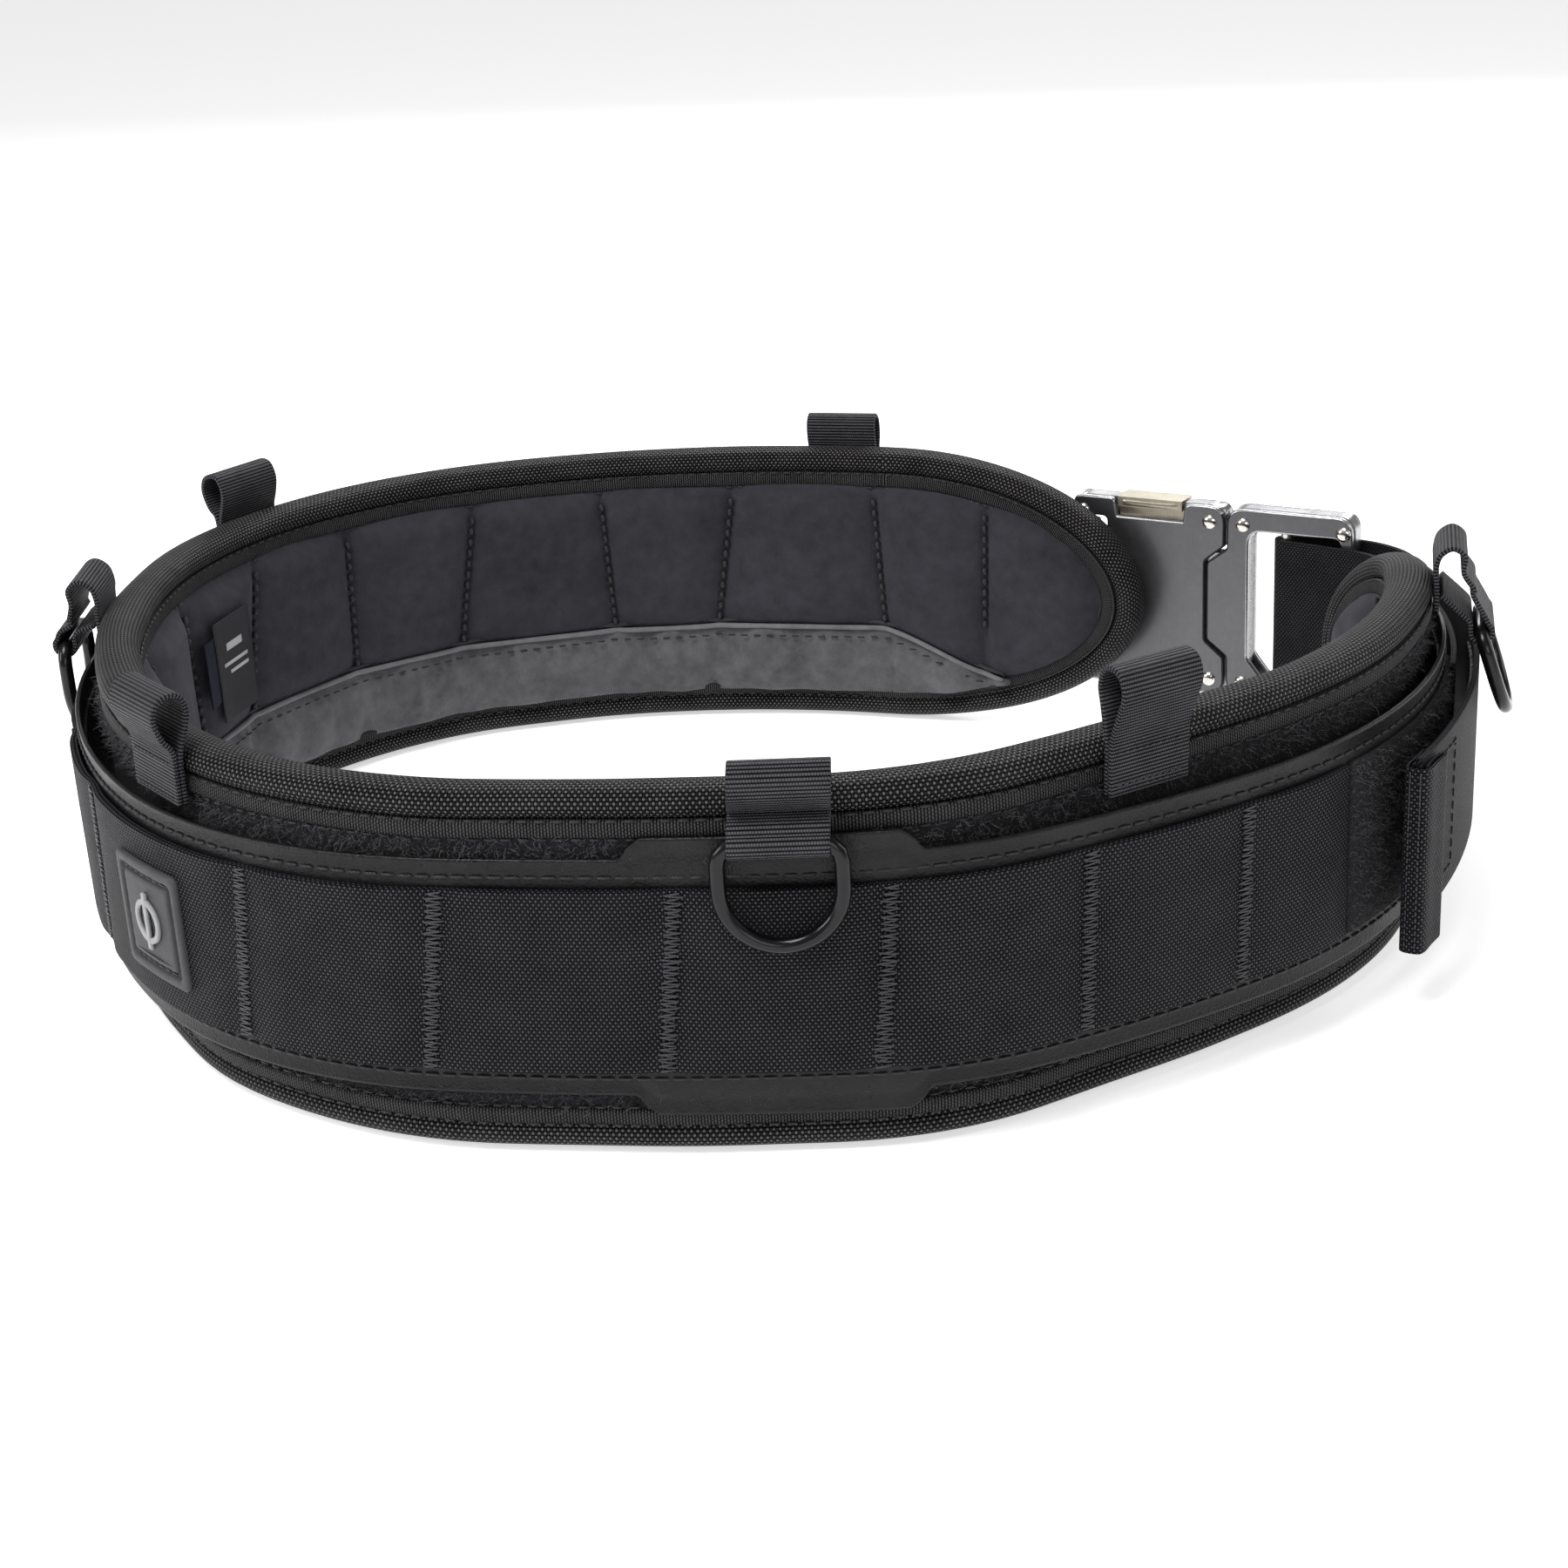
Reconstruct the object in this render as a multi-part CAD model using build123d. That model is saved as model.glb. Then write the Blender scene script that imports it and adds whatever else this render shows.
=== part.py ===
from build123d import *
import os
from math import atan2, cos, degrees, hypot, radians, sin

# Padded tool belt, standing on its lower edge.  Millimetres, +Z up.
# Plan position is set by routes: chains of tangent arcs, walked counter-clockwise from the buckle.

# ---- plan of the belt ------------------------------------------------------------------------------
PAD_START = (129.65, 112.45)
PAD_HEADING = 147.5
PAD_ARCS = ((387, 19.5), (231, 27.5), (127, 68.5), (227, 39.5), (131, 47.0),
            (594, 8.0), (105, 30.5), (750, 5.5), (155, 74.0))
BELT_START = (107.65, 134.85)
BELT_HEADING = 149.5
BELT_ARCS = ((346, 16.0), (245, 26.5), (147, 73.0), (229, 36.5), (138, 47.0),
             (630, 9.5), (112, 25.5), (452, 8.5), (163, 33.0), (164, 31.0))

# ---- padded sleeve ---------------------------------------------------------------------------------
PAD_HEIGHT = 100.0
TAPER = 95.0              # length of each rounded end
FOAM_HALF = 4.5
SKIN = 1.0                # lining and pile panel thickness
LAYER_GAP = 0.1
ROLL_HALF = 7.0           # half thickness of the rolled edge binding
FOAM_INSET = 4.9          # from the sleeve's edge to the foam's edge
ROLL_HEIGHT = 12.0
CUSHION_THICK = 3.3
CUSHION_Z = (13.0, 35.0)
CUSHION_END = 90.0        # from each end of the sleeve

# ---- outer belt ------------------------------------------------------------------------------------
LAMINATE_THICK = 1.2
LAMINATE_HEIGHT = 65.0
TAB_HEIGHT = 76.0
TAB_WIDTH = 66.0
WEBBING_THICK = 1.8
WEBBING_HEIGHT = 50.0
HOOK_THICK = 0.8
MIDDLE_Z = 50.0
TAB_STATION = 741.0
WEBBING_END = 909.0
PATCH_END = 1005.0
BADGE_STATION = 560.0
BADGE_SIZE = 30.0
BADGE_THICK = 2.2
BADGE_OFFSET = 2.3
BADGE_Z = 49.6
LABEL_STATION = 372.0
LABEL_THICK = 0.5

# ---- loops and D-rings -----------------------------------------------------------------------------
LOOP_WIDTH = 25.0
LOOP_THICK = 1.5
TOOL_LOOPS = {"tool_loop_rear_left": (328, 115.0), "tool_loop_side": (562, 116.0),
              "tool_loop_front_right": (828, 119.0)}
RING_WIRE = 2.0
RING_HALF_WIDTH = 15.2
RING_STRAIGHT = 12.0
RING_CORNER = 3.0
EYE_CLEARANCE = 0.3
TOOL_EYE = 4.8            # radius of the opening in a tall loop
SMALL_EYE = 4.6
FIT = 0.3                 # between pieces that lie on each other
# station, height and distance out of each ring's bar, and how far the ring leans on what is below it
RING_LOOPS = {"rear": (112, 88.6, 15.2, 0.0), "left": (425, 88.6, 19.2, 0.0),
              "front": (734, 88.6, 13.9, 0.0), "right": (985, 84.0, 21.0, 18.0)}

# ---- buckle, in its own frame: u towards the male half, v up, w outwards ---------------------------
BUCKLE_CENTRE = (160.15, 111.05, MIDDLE_Z)
BUCKLE_HEADING = -31.0
BUCKLE_HALF_HEIGHT = 34.0
PLATE_THICK = 2.4
PLATE_FACE = 5.0          # outer face of each plate from the mid-plane
FEMALE_LENGTH = 57.0
MALE_LENGTH = 45.0
SPLIT_GAP = 0.6
NOSE = 7.0                # how far the middle of the male plates reaches into the female half
NOSE_HALF = 14.0
RIVET_RADIUS = 2.6
RIVET_SHANK = 1.8
RIVET_V = 28.5
FEMALE_RIVETS = (-53.0, -6.0)
MALE_RIVETS = (6.0, 41.5)
WINDOW_HALF = 27.0        # half height of the openings that the strap and the anchor loop use
CORE = PLATE_FACE - PLATE_THICK
LATCH_U = (-40.0, -16.0)
LATCH_BODY = 20.6
LATCH_FOOT = 6.0
TOOTH_BASE = 8.8
TOOTH_TOP = 11.7
ARM_INNER = 12.2
ARM_OUTER = 17.0
ARM_TIP = -34.5
HOOK_INNER = 9.3
SPRING_U = -37.8
SPRING_BASE = 1.1
SPRING_TOP = 5.6
SPRING_WIRE = 0.35
PIN_U = -53.0
PIN_RADIUS = 2.4
PIN_CLEAR = 0.1
BAR_U = 20.5

# ---- waist strap -----------------------------------------------------------------------------------
STRAP_WIDTH = 48.0
STRAP_THICK = 1.8
STRAP_LEAVE = (40.0, 6.3)     # u and w where both runs clear the buckle
OUTER_RUN = ((-32, -50.5), (-255, -43.2))
INNER_RUN = ((-25, -45.0), (-188, -32.5))
END_TAB_Z = (18.0, 72.0)
END_TAB_LENGTH = 13.0
END_TAB_HALF = 3.0


class Route:
    """A chain of tangent arcs in plan, with parallel curves at any offset outwards."""

    def __init__(self, start, heading, arcs):
        self.legs = []
        x, y = start
        turn = radians(heading)
        station = 0.0
        for radius, sweep in arcs:
            angle = radians(sweep)
            self.legs.append((station, x, y, turn, radius))
            station += abs(radius * angle)
            x, y, turn = self.step(x, y, turn, radius, angle)
        self.length = station

    @staticmethod
    def step(x, y, turn, radius, angle):
        x += radius * (sin(turn + angle) - sin(turn))
        y -= radius * (cos(turn + angle) - cos(turn))
        return x, y, turn + angle

    def at(self, station, offset=0.0):
        """Plan point and heading at a station, moved outwards by offset."""
        leg = [item for item in self.legs if item[0] <= station + 1e-6][-1]
        begin, x, y, turn, radius = leg
        x, y, turn = self.step(x, y, turn, radius, (station - begin) / radius)
        return x + offset * sin(turn), y - offset * cos(turn), turn

    def frame(self, station, offset=0.0, z=0.0):
        """Plane whose x runs along the route, y is up and z points outwards."""
        x, y, turn = self.at(station, offset)
        return Plane((x, y, z), x_dir=(cos(turn), sin(turn), 0), z_dir=(sin(turn), -cos(turn), 0))

    def section(self, station, offset=0.0, z=0.0):
        """Plane across the route: x points outwards, y is up."""
        x, y, turn = self.at(station, offset)
        return Plane((x, y, z), x_dir=(sin(turn), -cos(turn), 0), z_dir=(-cos(turn), -sin(turn), 0))

    def edges(self, offset, first, last):
        """The parallel curve between two stations, as arcs."""
        ends = [first] + [leg[0] for leg in self.legs if first < leg[0] - 1e-6 and leg[0] < last - 1e-6]
        ends.append(last)
        result = []
        for a, b in zip(ends, ends[1:]):
            points = [self.at(s, offset)[:2] for s in (a + 1e-5, (a + b) / 2, b - 1e-5)]
            if result:
                points[0] = result[-1][2]
            result.append(tuple(points))
        return result

    def band(self, inner, outer, first, last, bottom, top):
        """A vertical band between two offsets, two stations and two heights."""
        near = self.edges(inner, first, last)
        far = self.edges(outer, first, last)
        lines = [ThreePointArc(*arc) for arc in near + far]
        lines.append(Line(near[0][0], far[0][0]))
        lines.append(Line(near[-1][2], far[-1][2]))
        face = make_face(Curve() + lines)
        return Pos(0, 0, bottom) * extrude(face, top - bottom, dir=(0, 0, 1))


pad = Route(PAD_START, PAD_HEADING, PAD_ARCS)
belt = Route(BELT_START, BELT_HEADING, BELT_ARCS)


# ---- padded sleeve ---------------------------------------------------------------------------------
def end_corners(inset):
    """What the rounded ends take away from a straight-ended band."""
    half = PAD_HEIGHT / 2
    shape = Pos(TAPER / 2 - 10, half) * Rectangle(TAPER + 20, PAD_HEIGHT + 20)
    keep = Pos(TAPER, half) * Ellipse(TAPER - inset, half - inset)
    return shape - keep - Pos(TAPER + 10, half) * Rectangle(20, PAD_HEIGHT - 2 * inset)


def pad_slab(inner, outer, inset):
    """A layer of the sleeve: its rounded outline drawn in from the edge by inset."""
    slab = pad.band(inner, outer, inset, pad.length - inset, inset, PAD_HEIGHT - inset)
    x, y, turn = pad.at(pad.length)
    first = pad.frame(0)
    last = Plane((x, y, 0), x_dir=(-cos(turn), -sin(turn), 0), z_dir=(-sin(turn), cos(turn), 0))
    for tip in (first, last):
        slab -= extrude(tip * end_corners(inset), 45, both=True)
    return slab


def edge_binding():
    """Padded roll round the whole edge of the sleeve, grooved for the layers, open on both faces."""
    roll = pad_slab(-ROLL_HALF, ROLL_HALF, 0)
    groove = FOAM_HALF + SKIN + 2 * LAYER_GAP
    roll -= pad_slab(-groove, groove, FOAM_INSET - LAYER_GAP)
    return roll - pad_slab(-ROLL_HALF - 1, ROLL_HALF + 1, ROLL_HEIGHT)


def lower_cushion():
    outer = -FOAM_HALF - SKIN - 2 * LAYER_GAP
    return pad.band(outer - CUSHION_THICK, outer, CUSHION_END, pad.length - CUSHION_END, *CUSHION_Z)


def label(station, width, height, centre_z):
    """A woven label sewn to the lining."""
    outer = -FOAM_HALF - SKIN - 2 * LAYER_GAP
    return pad.band(outer - LABEL_THICK, outer, station - width / 2, station + width / 2,
                    centre_z - height / 2, centre_z + height / 2)


# ---- outer belt ------------------------------------------------------------------------------------
def laminate():
    """Leather-like backing with a tall tab top and bottom at the front."""
    half = LAMINATE_HEIGHT / 2
    sheet = belt.band(-LAMINATE_THICK, 0, 0, belt.length, MIDDLE_Z - half, MIDDLE_Z + half)
    tall = TAB_HEIGHT / 2
    tab = belt.band(-LAMINATE_THICK, 0, TAB_STATION - TAB_WIDTH / 2, TAB_STATION + TAB_WIDTH / 2,
                    MIDDLE_Z - tall, MIDDLE_Z + tall)
    return sheet + tab


def badge_plate(station, size, thick, offset, centre_z, corner):
    face = belt.frame(station, offset, centre_z) * RectangleRounded(size, size, corner)
    return extrude(face, thick)


def emblem(station, offset, centre_z, thick):
    """A plain ring and bar on the rubber badge."""
    plane = belt.frame(station, offset, centre_z)
    ring = Circle(7.0) - Circle(5.0)
    bar = Rectangle(2.0, 14.0)
    return extrude(plane * (ring + bar), thick)


# ---- loops and rings -------------------------------------------------------------------------------
def strip(a, b, thick):
    """A straight piece of webbing seen on edge."""
    length = hypot(b[0] - a[0], b[1] - a[1])
    angle = degrees(atan2(b[1] - a[1], b[0] - a[0]))
    return Pos((a[0] + b[0]) / 2, (a[1] + b[1]) / 2) * Rot(0, 0, angle) * Rectangle(length + thick / 2, thick)


def eye(centre, hole):
    return Pos(*centre) * (Circle(hole + LOOP_THICK) - Circle(hole))


def across(station, profile):
    """Webbing of the loop width, its edge profile drawn outwards and up from the sleeve."""
    return extrude(pad.section(station) * profile, LOOP_WIDTH / 2, both=True)


def tool_loop(station, top):
    """Webbing folded into an upright loop and sewn flat on the binding."""
    hole = TOOL_EYE
    inner = ROLL_HALF + FIT + LOOP_THICK / 2 + 0.1
    outer = inner + LOOP_THICK
    middle = (inner + outer) / 2
    centre = (middle + 0.9, top - hole - LOOP_THICK)
    spread = (hole + LOOP_THICK / 2) * 0.94
    profile = eye(centre, hole)
    for layer, side in ((inner, -1), (outer, 1)):
        profile += strip((layer, PAD_HEIGHT + 0.6), (centre[0] + side * spread, centre[1] - hole * 0.35), LOOP_THICK)
    profile += Pos(middle, 92.9) * Rectangle(2 * LOOP_THICK, 16.8)
    profile -= Pos(*centre) * Circle(hole)
    return across(station, profile)


def ring_loop(station, bar_z, reach):
    """Webbing sewn to the binding, with a small eye on top and the D-ring's eye below."""
    hole = RING_WIRE + EYE_CLEARANCE
    middle = ROLL_HALF + FIT + LOOP_THICK
    top_eye = (middle + 3.0, PAD_HEIGHT + 4.6)
    ring_eye = (reach, bar_z)
    seam = (max(middle + 1.4, reach - 2.2), bar_z + 6.0)
    profile = eye(top_eye, SMALL_EYE) + Pos(middle, 94.3) * Rectangle(2 * LOOP_THICK, 9.6)
    profile += strip((middle + 0.2, 98.0), (middle + 1.5, PAD_HEIGHT), 2 * LOOP_THICK)
    profile += strip((middle + 0.8, 96.5), seam, 2 * LOOP_THICK)
    profile += strip(seam, (reach, bar_z + hole + LOOP_THICK / 2), 2 * LOOP_THICK)
    profile += eye(ring_eye, hole)
    profile -= Pos(*ring_eye) * Circle(hole)
    profile -= Pos(*top_eye) * Circle(SMALL_EYE)
    return across(station, profile)


def d_ring(station, bar_z, reach, lean):
    """Round wire bent into a D, hanging from its straight bar."""
    half = RING_HALF_WIDTH
    down = -RING_STRAIGHT
    left = -half
    path = Curve() + [
        Line((left + RING_CORNER, 0), (half - RING_CORNER, 0)),
        RadiusArc((half - RING_CORNER, 0), (half, -RING_CORNER), RING_CORNER),
        Line((half, -RING_CORNER), (half, down)),
        ThreePointArc((half, down), (0, down - half), (left, down)),
        Line((left, down), (left, -RING_CORNER)),
        RadiusArc((left, -RING_CORNER), (left + RING_CORNER, 0), RING_CORNER),
    ]
    wire = path.wires()[0]
    wheel = sweep(Plane((0, 0, 0), z_dir=(1, 0, 0)) * Circle(RING_WIRE), path=wire)
    return pad.frame(station, reach, bar_z).location * Rot(-lean, 0, 0) * wheel


# ---- buckle ----------------------------------------------------------------------------------------
def buckle_plane():
    turn = radians(BUCKLE_HEADING)
    return Plane(BUCKLE_CENTRE, x_dir=(cos(turn), sin(turn), 0), z_dir=(-sin(turn), cos(turn), 0))


def in_buckle(shape):
    """Moves a piece from the buckle's own frame, u along x, w along y and v along z."""
    return Plane(BUCKLE_CENTRE, x_dir=buckle_plane().x_dir, z_dir=(0, 0, 1)).location * shape


def plate_slab(outline, low, high):
    """Extrudes an outline drawn in u and v between two values of w."""
    plane = Plane((0, low, 0), x_dir=(1, 0, 0), z_dir=(0, -1, 0))
    return extrude(plane * outline, -(high - low))


def block(u0, u1, w0, w1, v0, v1):
    return Pos((u0 + u1) / 2, (w0 + w1) / 2, (v0 + v1) / 2) * Box(u1 - u0, w1 - w0, v1 - v0)


def nose_outline(grow):
    """The stepped tongue of the male plates, which the female plates are cut round."""
    tall = NOSE_HALF + 5.5 + grow
    short = NOSE_HALF + grow
    return Polyline((6, tall), (-grow, tall), (-NOSE - grow, short), (-NOSE - grow, -short),
                    (-grow, -tall), (6, -tall), close=True)


def female_outline():
    height = 2 * BUCKLE_HALF_HEIGHT
    shape = Pos(-FEMALE_LENGTH / 2 - SPLIT_GAP / 2, 0) * RectangleRounded(FEMALE_LENGTH - SPLIT_GAP, height, 5.5)
    shape -= make_face(nose_outline(SPLIT_GAP))
    shape -= Pos(-FEMALE_LENGTH, 0) * Rectangle(26, 2 * WINDOW_HALF)
    for side in (-1, 1):
        shape -= Pos(sum(LATCH_U) / 2, side * BUCKLE_HALF_HEIGHT) * Rectangle(LATCH_U[1] - LATCH_U[0] + 1, 13.0)
    return shape


def male_blank():
    """Rounded plate with the tall strap window."""
    height = 2 * BUCKLE_HALF_HEIGHT
    shape = Pos(MALE_LENGTH / 2 + SPLIT_GAP / 2, 0) * RectangleRounded(MALE_LENGTH - SPLIT_GAP, height, 5.5)
    return shape - Pos(24.5, 0) * RectangleRounded(33.0, 2 * WINDOW_HALF, 3.0)


def male_outline():
    return male_blank() + make_face(nose_outline(0))


def rivet_holes(places, radius):
    return [Pos(u, v) * Circle(radius) for u in places for v in (-RIVET_V, RIVET_V)]


def plate(outline, places, side):
    for hole in rivet_holes(places, RIVET_SHANK):
        outline -= hole
    face = side * PLATE_FACE
    back = side * (PLATE_FACE - PLATE_THICK)
    return plate_slab(outline, min(face, back), max(face, back))


def rivets(places):
    """Domed rivets through both plates, all on one node."""
    group = []
    for u in places:
        for v in (-RIVET_V, RIVET_V):
            shank = Pos(u, 0, v) * Rot(90, 0, 0) * Cylinder(RIVET_SHANK, 2 * PLATE_FACE)
            for side in (-1, 1):
                head = Pos(u, side * (PLATE_FACE + 0.5), v) * Rot(90, 0, 0) * Cylinder(RIVET_RADIUS, 1.0)
                shank += head
            group.append(shank)
    return Compound(children=group)


def female_core():
    """Everything between the female plates, open where the latches slide and the fork goes in."""
    outline = female_outline()
    u0, u1 = LATCH_U
    outline -= Pos(-20.0, 0) * Rectangle(42.0, 2 * (ARM_OUTER + 0.3))
    for side in (-1, 1):
        outline -= Pos((u0 + u1) / 2, side * 26.0) * Rectangle(u1 - u0 + 0.8, 20.0)
    for hole in rivet_holes(FEMALE_RIVETS, RIVET_SHANK):
        outline -= hole
    return outline


def female_spacer():
    """Frame at the strap end, with the short wall that the latch springs push against."""
    frame = female_core() & (Pos(-50.0, 0) * Rectangle(24.0, 2 * BUCKLE_HALF_HEIGHT + 2))
    frame += Pos(-39.0, 0) * Rectangle(10.0, 2 * (SPRING_BASE - 0.4))
    return plate_slab(frame, -CORE + 0.05, CORE - 0.05)


def female_guides():
    """The two blocks that guide the fork's arms at the mouth."""
    blocks = female_core() & (Pos(-7.5, 0) * Rectangle(16.0, 2 * BUCKLE_HALF_HEIGHT + 2))
    return plate_slab(blocks, -CORE + 0.05, CORE - 0.05)


def fork():
    """Rails between the male plates, with two hooked arms that reach into the female half."""
    outline = male_blank()
    length = ARM_TIP - 8.0
    for side in (-1, 1):
        outline += Pos(8.0 + length / 2, side * (ARM_INNER + ARM_OUTER) / 2) * Rectangle(
            -length, ARM_OUTER - ARM_INNER)
        outline += Pos(ARM_TIP + 2.0, side * (HOOK_INNER + ARM_OUTER) / 2) * Rectangle(
            4.0, ARM_OUTER - HOOK_INNER)
        outline -= Pos(22.0, side * 29.0) * Rectangle(9.0, 6.4)
    for hole in rivet_holes(MALE_RIVETS, RIVET_SHANK):
        outline -= hole
    return plate_slab(outline, -CORE + 0.05, CORE - 0.05)


def latch(side):
    """Sliding latch: a finger tab on the buckle's edge and a tooth behind the fork's hook."""
    u0, u1 = LATCH_U
    half = BUCKLE_HALF_HEIGHT
    thick = CORE - 0.2
    leg = ARM_TIP - 1.0
    body = block(u0, u1, -thick, thick, LATCH_BODY, half + 0.6)
    body += block(u0, leg, -thick, thick, LATCH_FOOT, LATCH_BODY + 1)
    body += block(u0, ARM_TIP + 8.5, -thick, thick, LATCH_FOOT, TOOTH_BASE)
    body += block(ARM_TIP + 4.3, ARM_TIP + 8.5, -thick, thick, LATCH_FOOT, TOOTH_TOP)
    wide = PLATE_FACE - 0.3
    body += block(u0 + 0.2, u1 - 0.2, -wide, wide, half - 3.0, half + 0.6)
    return body if side > 0 else Rot(180, 0, 0) * body


def latch_spring(side):
    """Compression spring between the divider and a latch's foot."""
    coil = Helix(pitch=1.25, height=SPRING_TOP - SPRING_BASE, radius=1.5)
    start = Plane(coil @ 0, z_dir=coil % 0)
    spring = Pos(SPRING_U, 0, SPRING_BASE) * sweep(start * Circle(SPRING_WIRE), path=coil)
    return spring if side > 0 else Rot(180, 0, 0) * spring


def webbing_pin():
    return Pos(PIN_U, 0, 0) * Cylinder(PIN_RADIUS, 2 * (RIVET_V - RIVET_SHANK - PIN_CLEAR))


def adjuster_bar():
    """Sliding bar that the strap is wrapped round, its ends in slots of the male rails."""
    return Pos(BAR_U, 0, 0) * Cylinder(PIN_RADIUS, 62.0)


# ---- strap and anchor ------------------------------------------------------------------------------
def anchor_loop():
    """Short webbing loop that ties the belt to the female half's pin."""
    inner = PIN_RADIUS + 0.1
    outer = inner + WEBBING_THICK
    shape = Pos(PIN_U, 0) * (Circle(outer) - Circle(inner))
    shape -= Pos(PIN_U - 10.0, 0) * Rectangle(20.0, 2 * outer + 2)
    for side in (-1, 1):
        shape += Pos(PIN_U - 12.5, side * (inner + outer) / 2) * Rectangle(25.0, WEBBING_THICK)
    return Pos(0, 0, -STRAP_WIDTH / 2) * extrude(shape, STRAP_WIDTH)


def strap_route(side, arcs):
    """One run of the strap, from where it clears the buckle round the side of the belt."""
    u, w = STRAP_LEAVE
    plane = buckle_plane()
    point = plane.origin + plane.x_dir * u + Vector(-plane.x_dir.Y, plane.x_dir.X, 0) * (side * w)
    return Route((point.X, point.Y), BUCKLE_HEADING, arcs)


outer_run = strap_route(1, OUTER_RUN)
inner_run = strap_route(-1, INNER_RUN)


def waist_strap():
    """One length of webbing: sewn to the belt, round the adjuster bar and back as a free tail."""
    half = STRAP_THICK / 2
    hole = PIN_RADIUS + 0.3
    middle = hole + half
    u, w = STRAP_LEAVE
    wrap = Pos(BAR_U, 0) * (Circle(hole + STRAP_THICK) - Circle(hole))
    wrap -= Pos(BAR_U + 10.0, 0) * Rectangle(20.0, 4 * hole + 4)
    for side in (-1, 1):
        wrap += strip((BAR_U, side * middle), (u, side * w), STRAP_THICK)
    wrap -= Pos(BAR_U, 0) * Circle(hole)
    turn = in_buckle(Pos(0, 0, -STRAP_WIDTH / 2) * extrude(wrap, STRAP_WIDTH))
    low = MIDDLE_Z - STRAP_WIDTH / 2
    high = MIDDLE_Z + STRAP_WIDTH / 2
    strap = turn + outer_run.band(-half, half, 0, outer_run.length, low, high)
    return strap + inner_run.band(-half, half, 0, inner_run.length, low, high)


def strap_hook_patch():
    """Hook strip on the inner face of the tail."""
    half = STRAP_THICK / 2 + 0.05
    last = outer_run.length - END_TAB_LENGTH - 3
    return outer_run.band(half, half + HOOK_THICK, 110, last, MIDDLE_Z - 21, MIDDLE_Z + 21)


def strap_end_tab():
    """Webbing folded over the end of the tail, hanging below it so that it stops at the buckle."""
    tip = outer_run.length
    tab = outer_run.band(-END_TAB_HALF, END_TAB_HALF, tip - END_TAB_LENGTH, tip + 2, *END_TAB_Z)
    half = STRAP_THICK / 2 + 0.05
    slot_low = MIDDLE_Z - STRAP_WIDTH / 2 - 0.1
    slot = outer_run.band(-half, half, tip - END_TAB_LENGTH - 1, tip + 0.1, slot_low, slot_low + STRAP_WIDTH + 0.2)
    return tab - slot


# ---- all pieces ------------------------------------------------------------------------------------
def build():
    skin_in = -FOAM_HALF - LAYER_GAP
    skin_out = FOAM_HALF + LAYER_GAP
    half_web = WEBBING_HEIGHT / 2
    pieces = {
        "pad_foam_core": pad_slab(-FOAM_HALF, FOAM_HALF, FOAM_INSET),
        "pad_lining": pad_slab(skin_in - SKIN, skin_in, FOAM_INSET + 1),
        "pad_pile_panel": pad_slab(skin_out, skin_out + SKIN, FOAM_INSET + 1),
        "pad_edge_binding": edge_binding(),
        "lower_inner_cushion": lower_cushion(),
        "belt_hook_backing": belt.band(-LAMINATE_THICK - LAYER_GAP - HOOK_THICK, -LAMINATE_THICK - LAYER_GAP,
                                       14, belt.length - 6, MIDDLE_Z - 26, MIDDLE_Z + 26),
        "belt_laminate": laminate(),
        "belt_webbing": belt.band(LAYER_GAP, LAYER_GAP + WEBBING_THICK, 3, WEBBING_END,
                                  MIDDLE_Z - half_web, MIDDLE_Z + half_web),
        "belt_pile_patch": belt.band(LAYER_GAP, LAYER_GAP + SKIN, WEBBING_END + 1.5, PATCH_END,
                                     MIDDLE_Z - half_web, MIDDLE_Z + half_web),
        "rubber_badge": badge_plate(BADGE_STATION, BADGE_SIZE, BADGE_THICK, BADGE_OFFSET, BADGE_Z, 2.0),
        "badge_emblem": emblem(BADGE_STATION, BADGE_OFFSET + BADGE_THICK, BADGE_Z, 0.8),
        "woven_label": label(LABEL_STATION, 27.0, 34.0, 60.0),
        "size_label": label(LABEL_STATION + 19, 9.0, 22.0, 62.0),
        "waist_strap": waist_strap(),
        "strap_hook_patch": strap_hook_patch(),
        "strap_end_tab": strap_end_tab(),
    }
    for name, (station, top) in TOOL_LOOPS.items():
        pieces[name] = tool_loop(station, top)
    for place, (station, bar_z, reach, lean) in RING_LOOPS.items():
        pieces["d_ring_loop_" + place] = ring_loop(station, bar_z, reach)
        pieces["d_ring_" + place] = d_ring(station, bar_z, reach, lean)
    buckle = {
        "buckle_anchor_loop": anchor_loop(),
        "buckle_female_inner_plate": plate(female_outline(), FEMALE_RIVETS, -1),
        "buckle_female_outer_plate": plate(female_outline(), FEMALE_RIVETS, 1),
        "buckle_female_spacer": female_spacer(),
        "buckle_female_guides": female_guides(),
        "buckle_female_rivets": rivets(FEMALE_RIVETS),
        "buckle_webbing_pin": webbing_pin(),
        "buckle_latch_top": latch(1),
        "buckle_latch_bottom": latch(-1),
        "latch_spring_top": latch_spring(1),
        "latch_spring_bottom": latch_spring(-1),
        "buckle_male_inner_plate": plate(male_outline(), MALE_RIVETS, -1),
        "buckle_male_outer_plate": plate(male_outline(), MALE_RIVETS, 1),
        "buckle_male_fork": fork(),
        "buckle_male_rivets": rivets(MALE_RIVETS),
        "buckle_adjuster_bar": adjuster_bar(),
    }
    for name, shape in buckle.items():
        pieces[name] = in_buckle(shape)
    return pieces


os.makedirs("parts", exist_ok=True)
for name, shape in build().items():
    export_step(shape, f"parts/{name}.step")
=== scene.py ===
import math

import bmesh
import bpy
import numpy as np
from mathutils import Matrix, Vector


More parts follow.
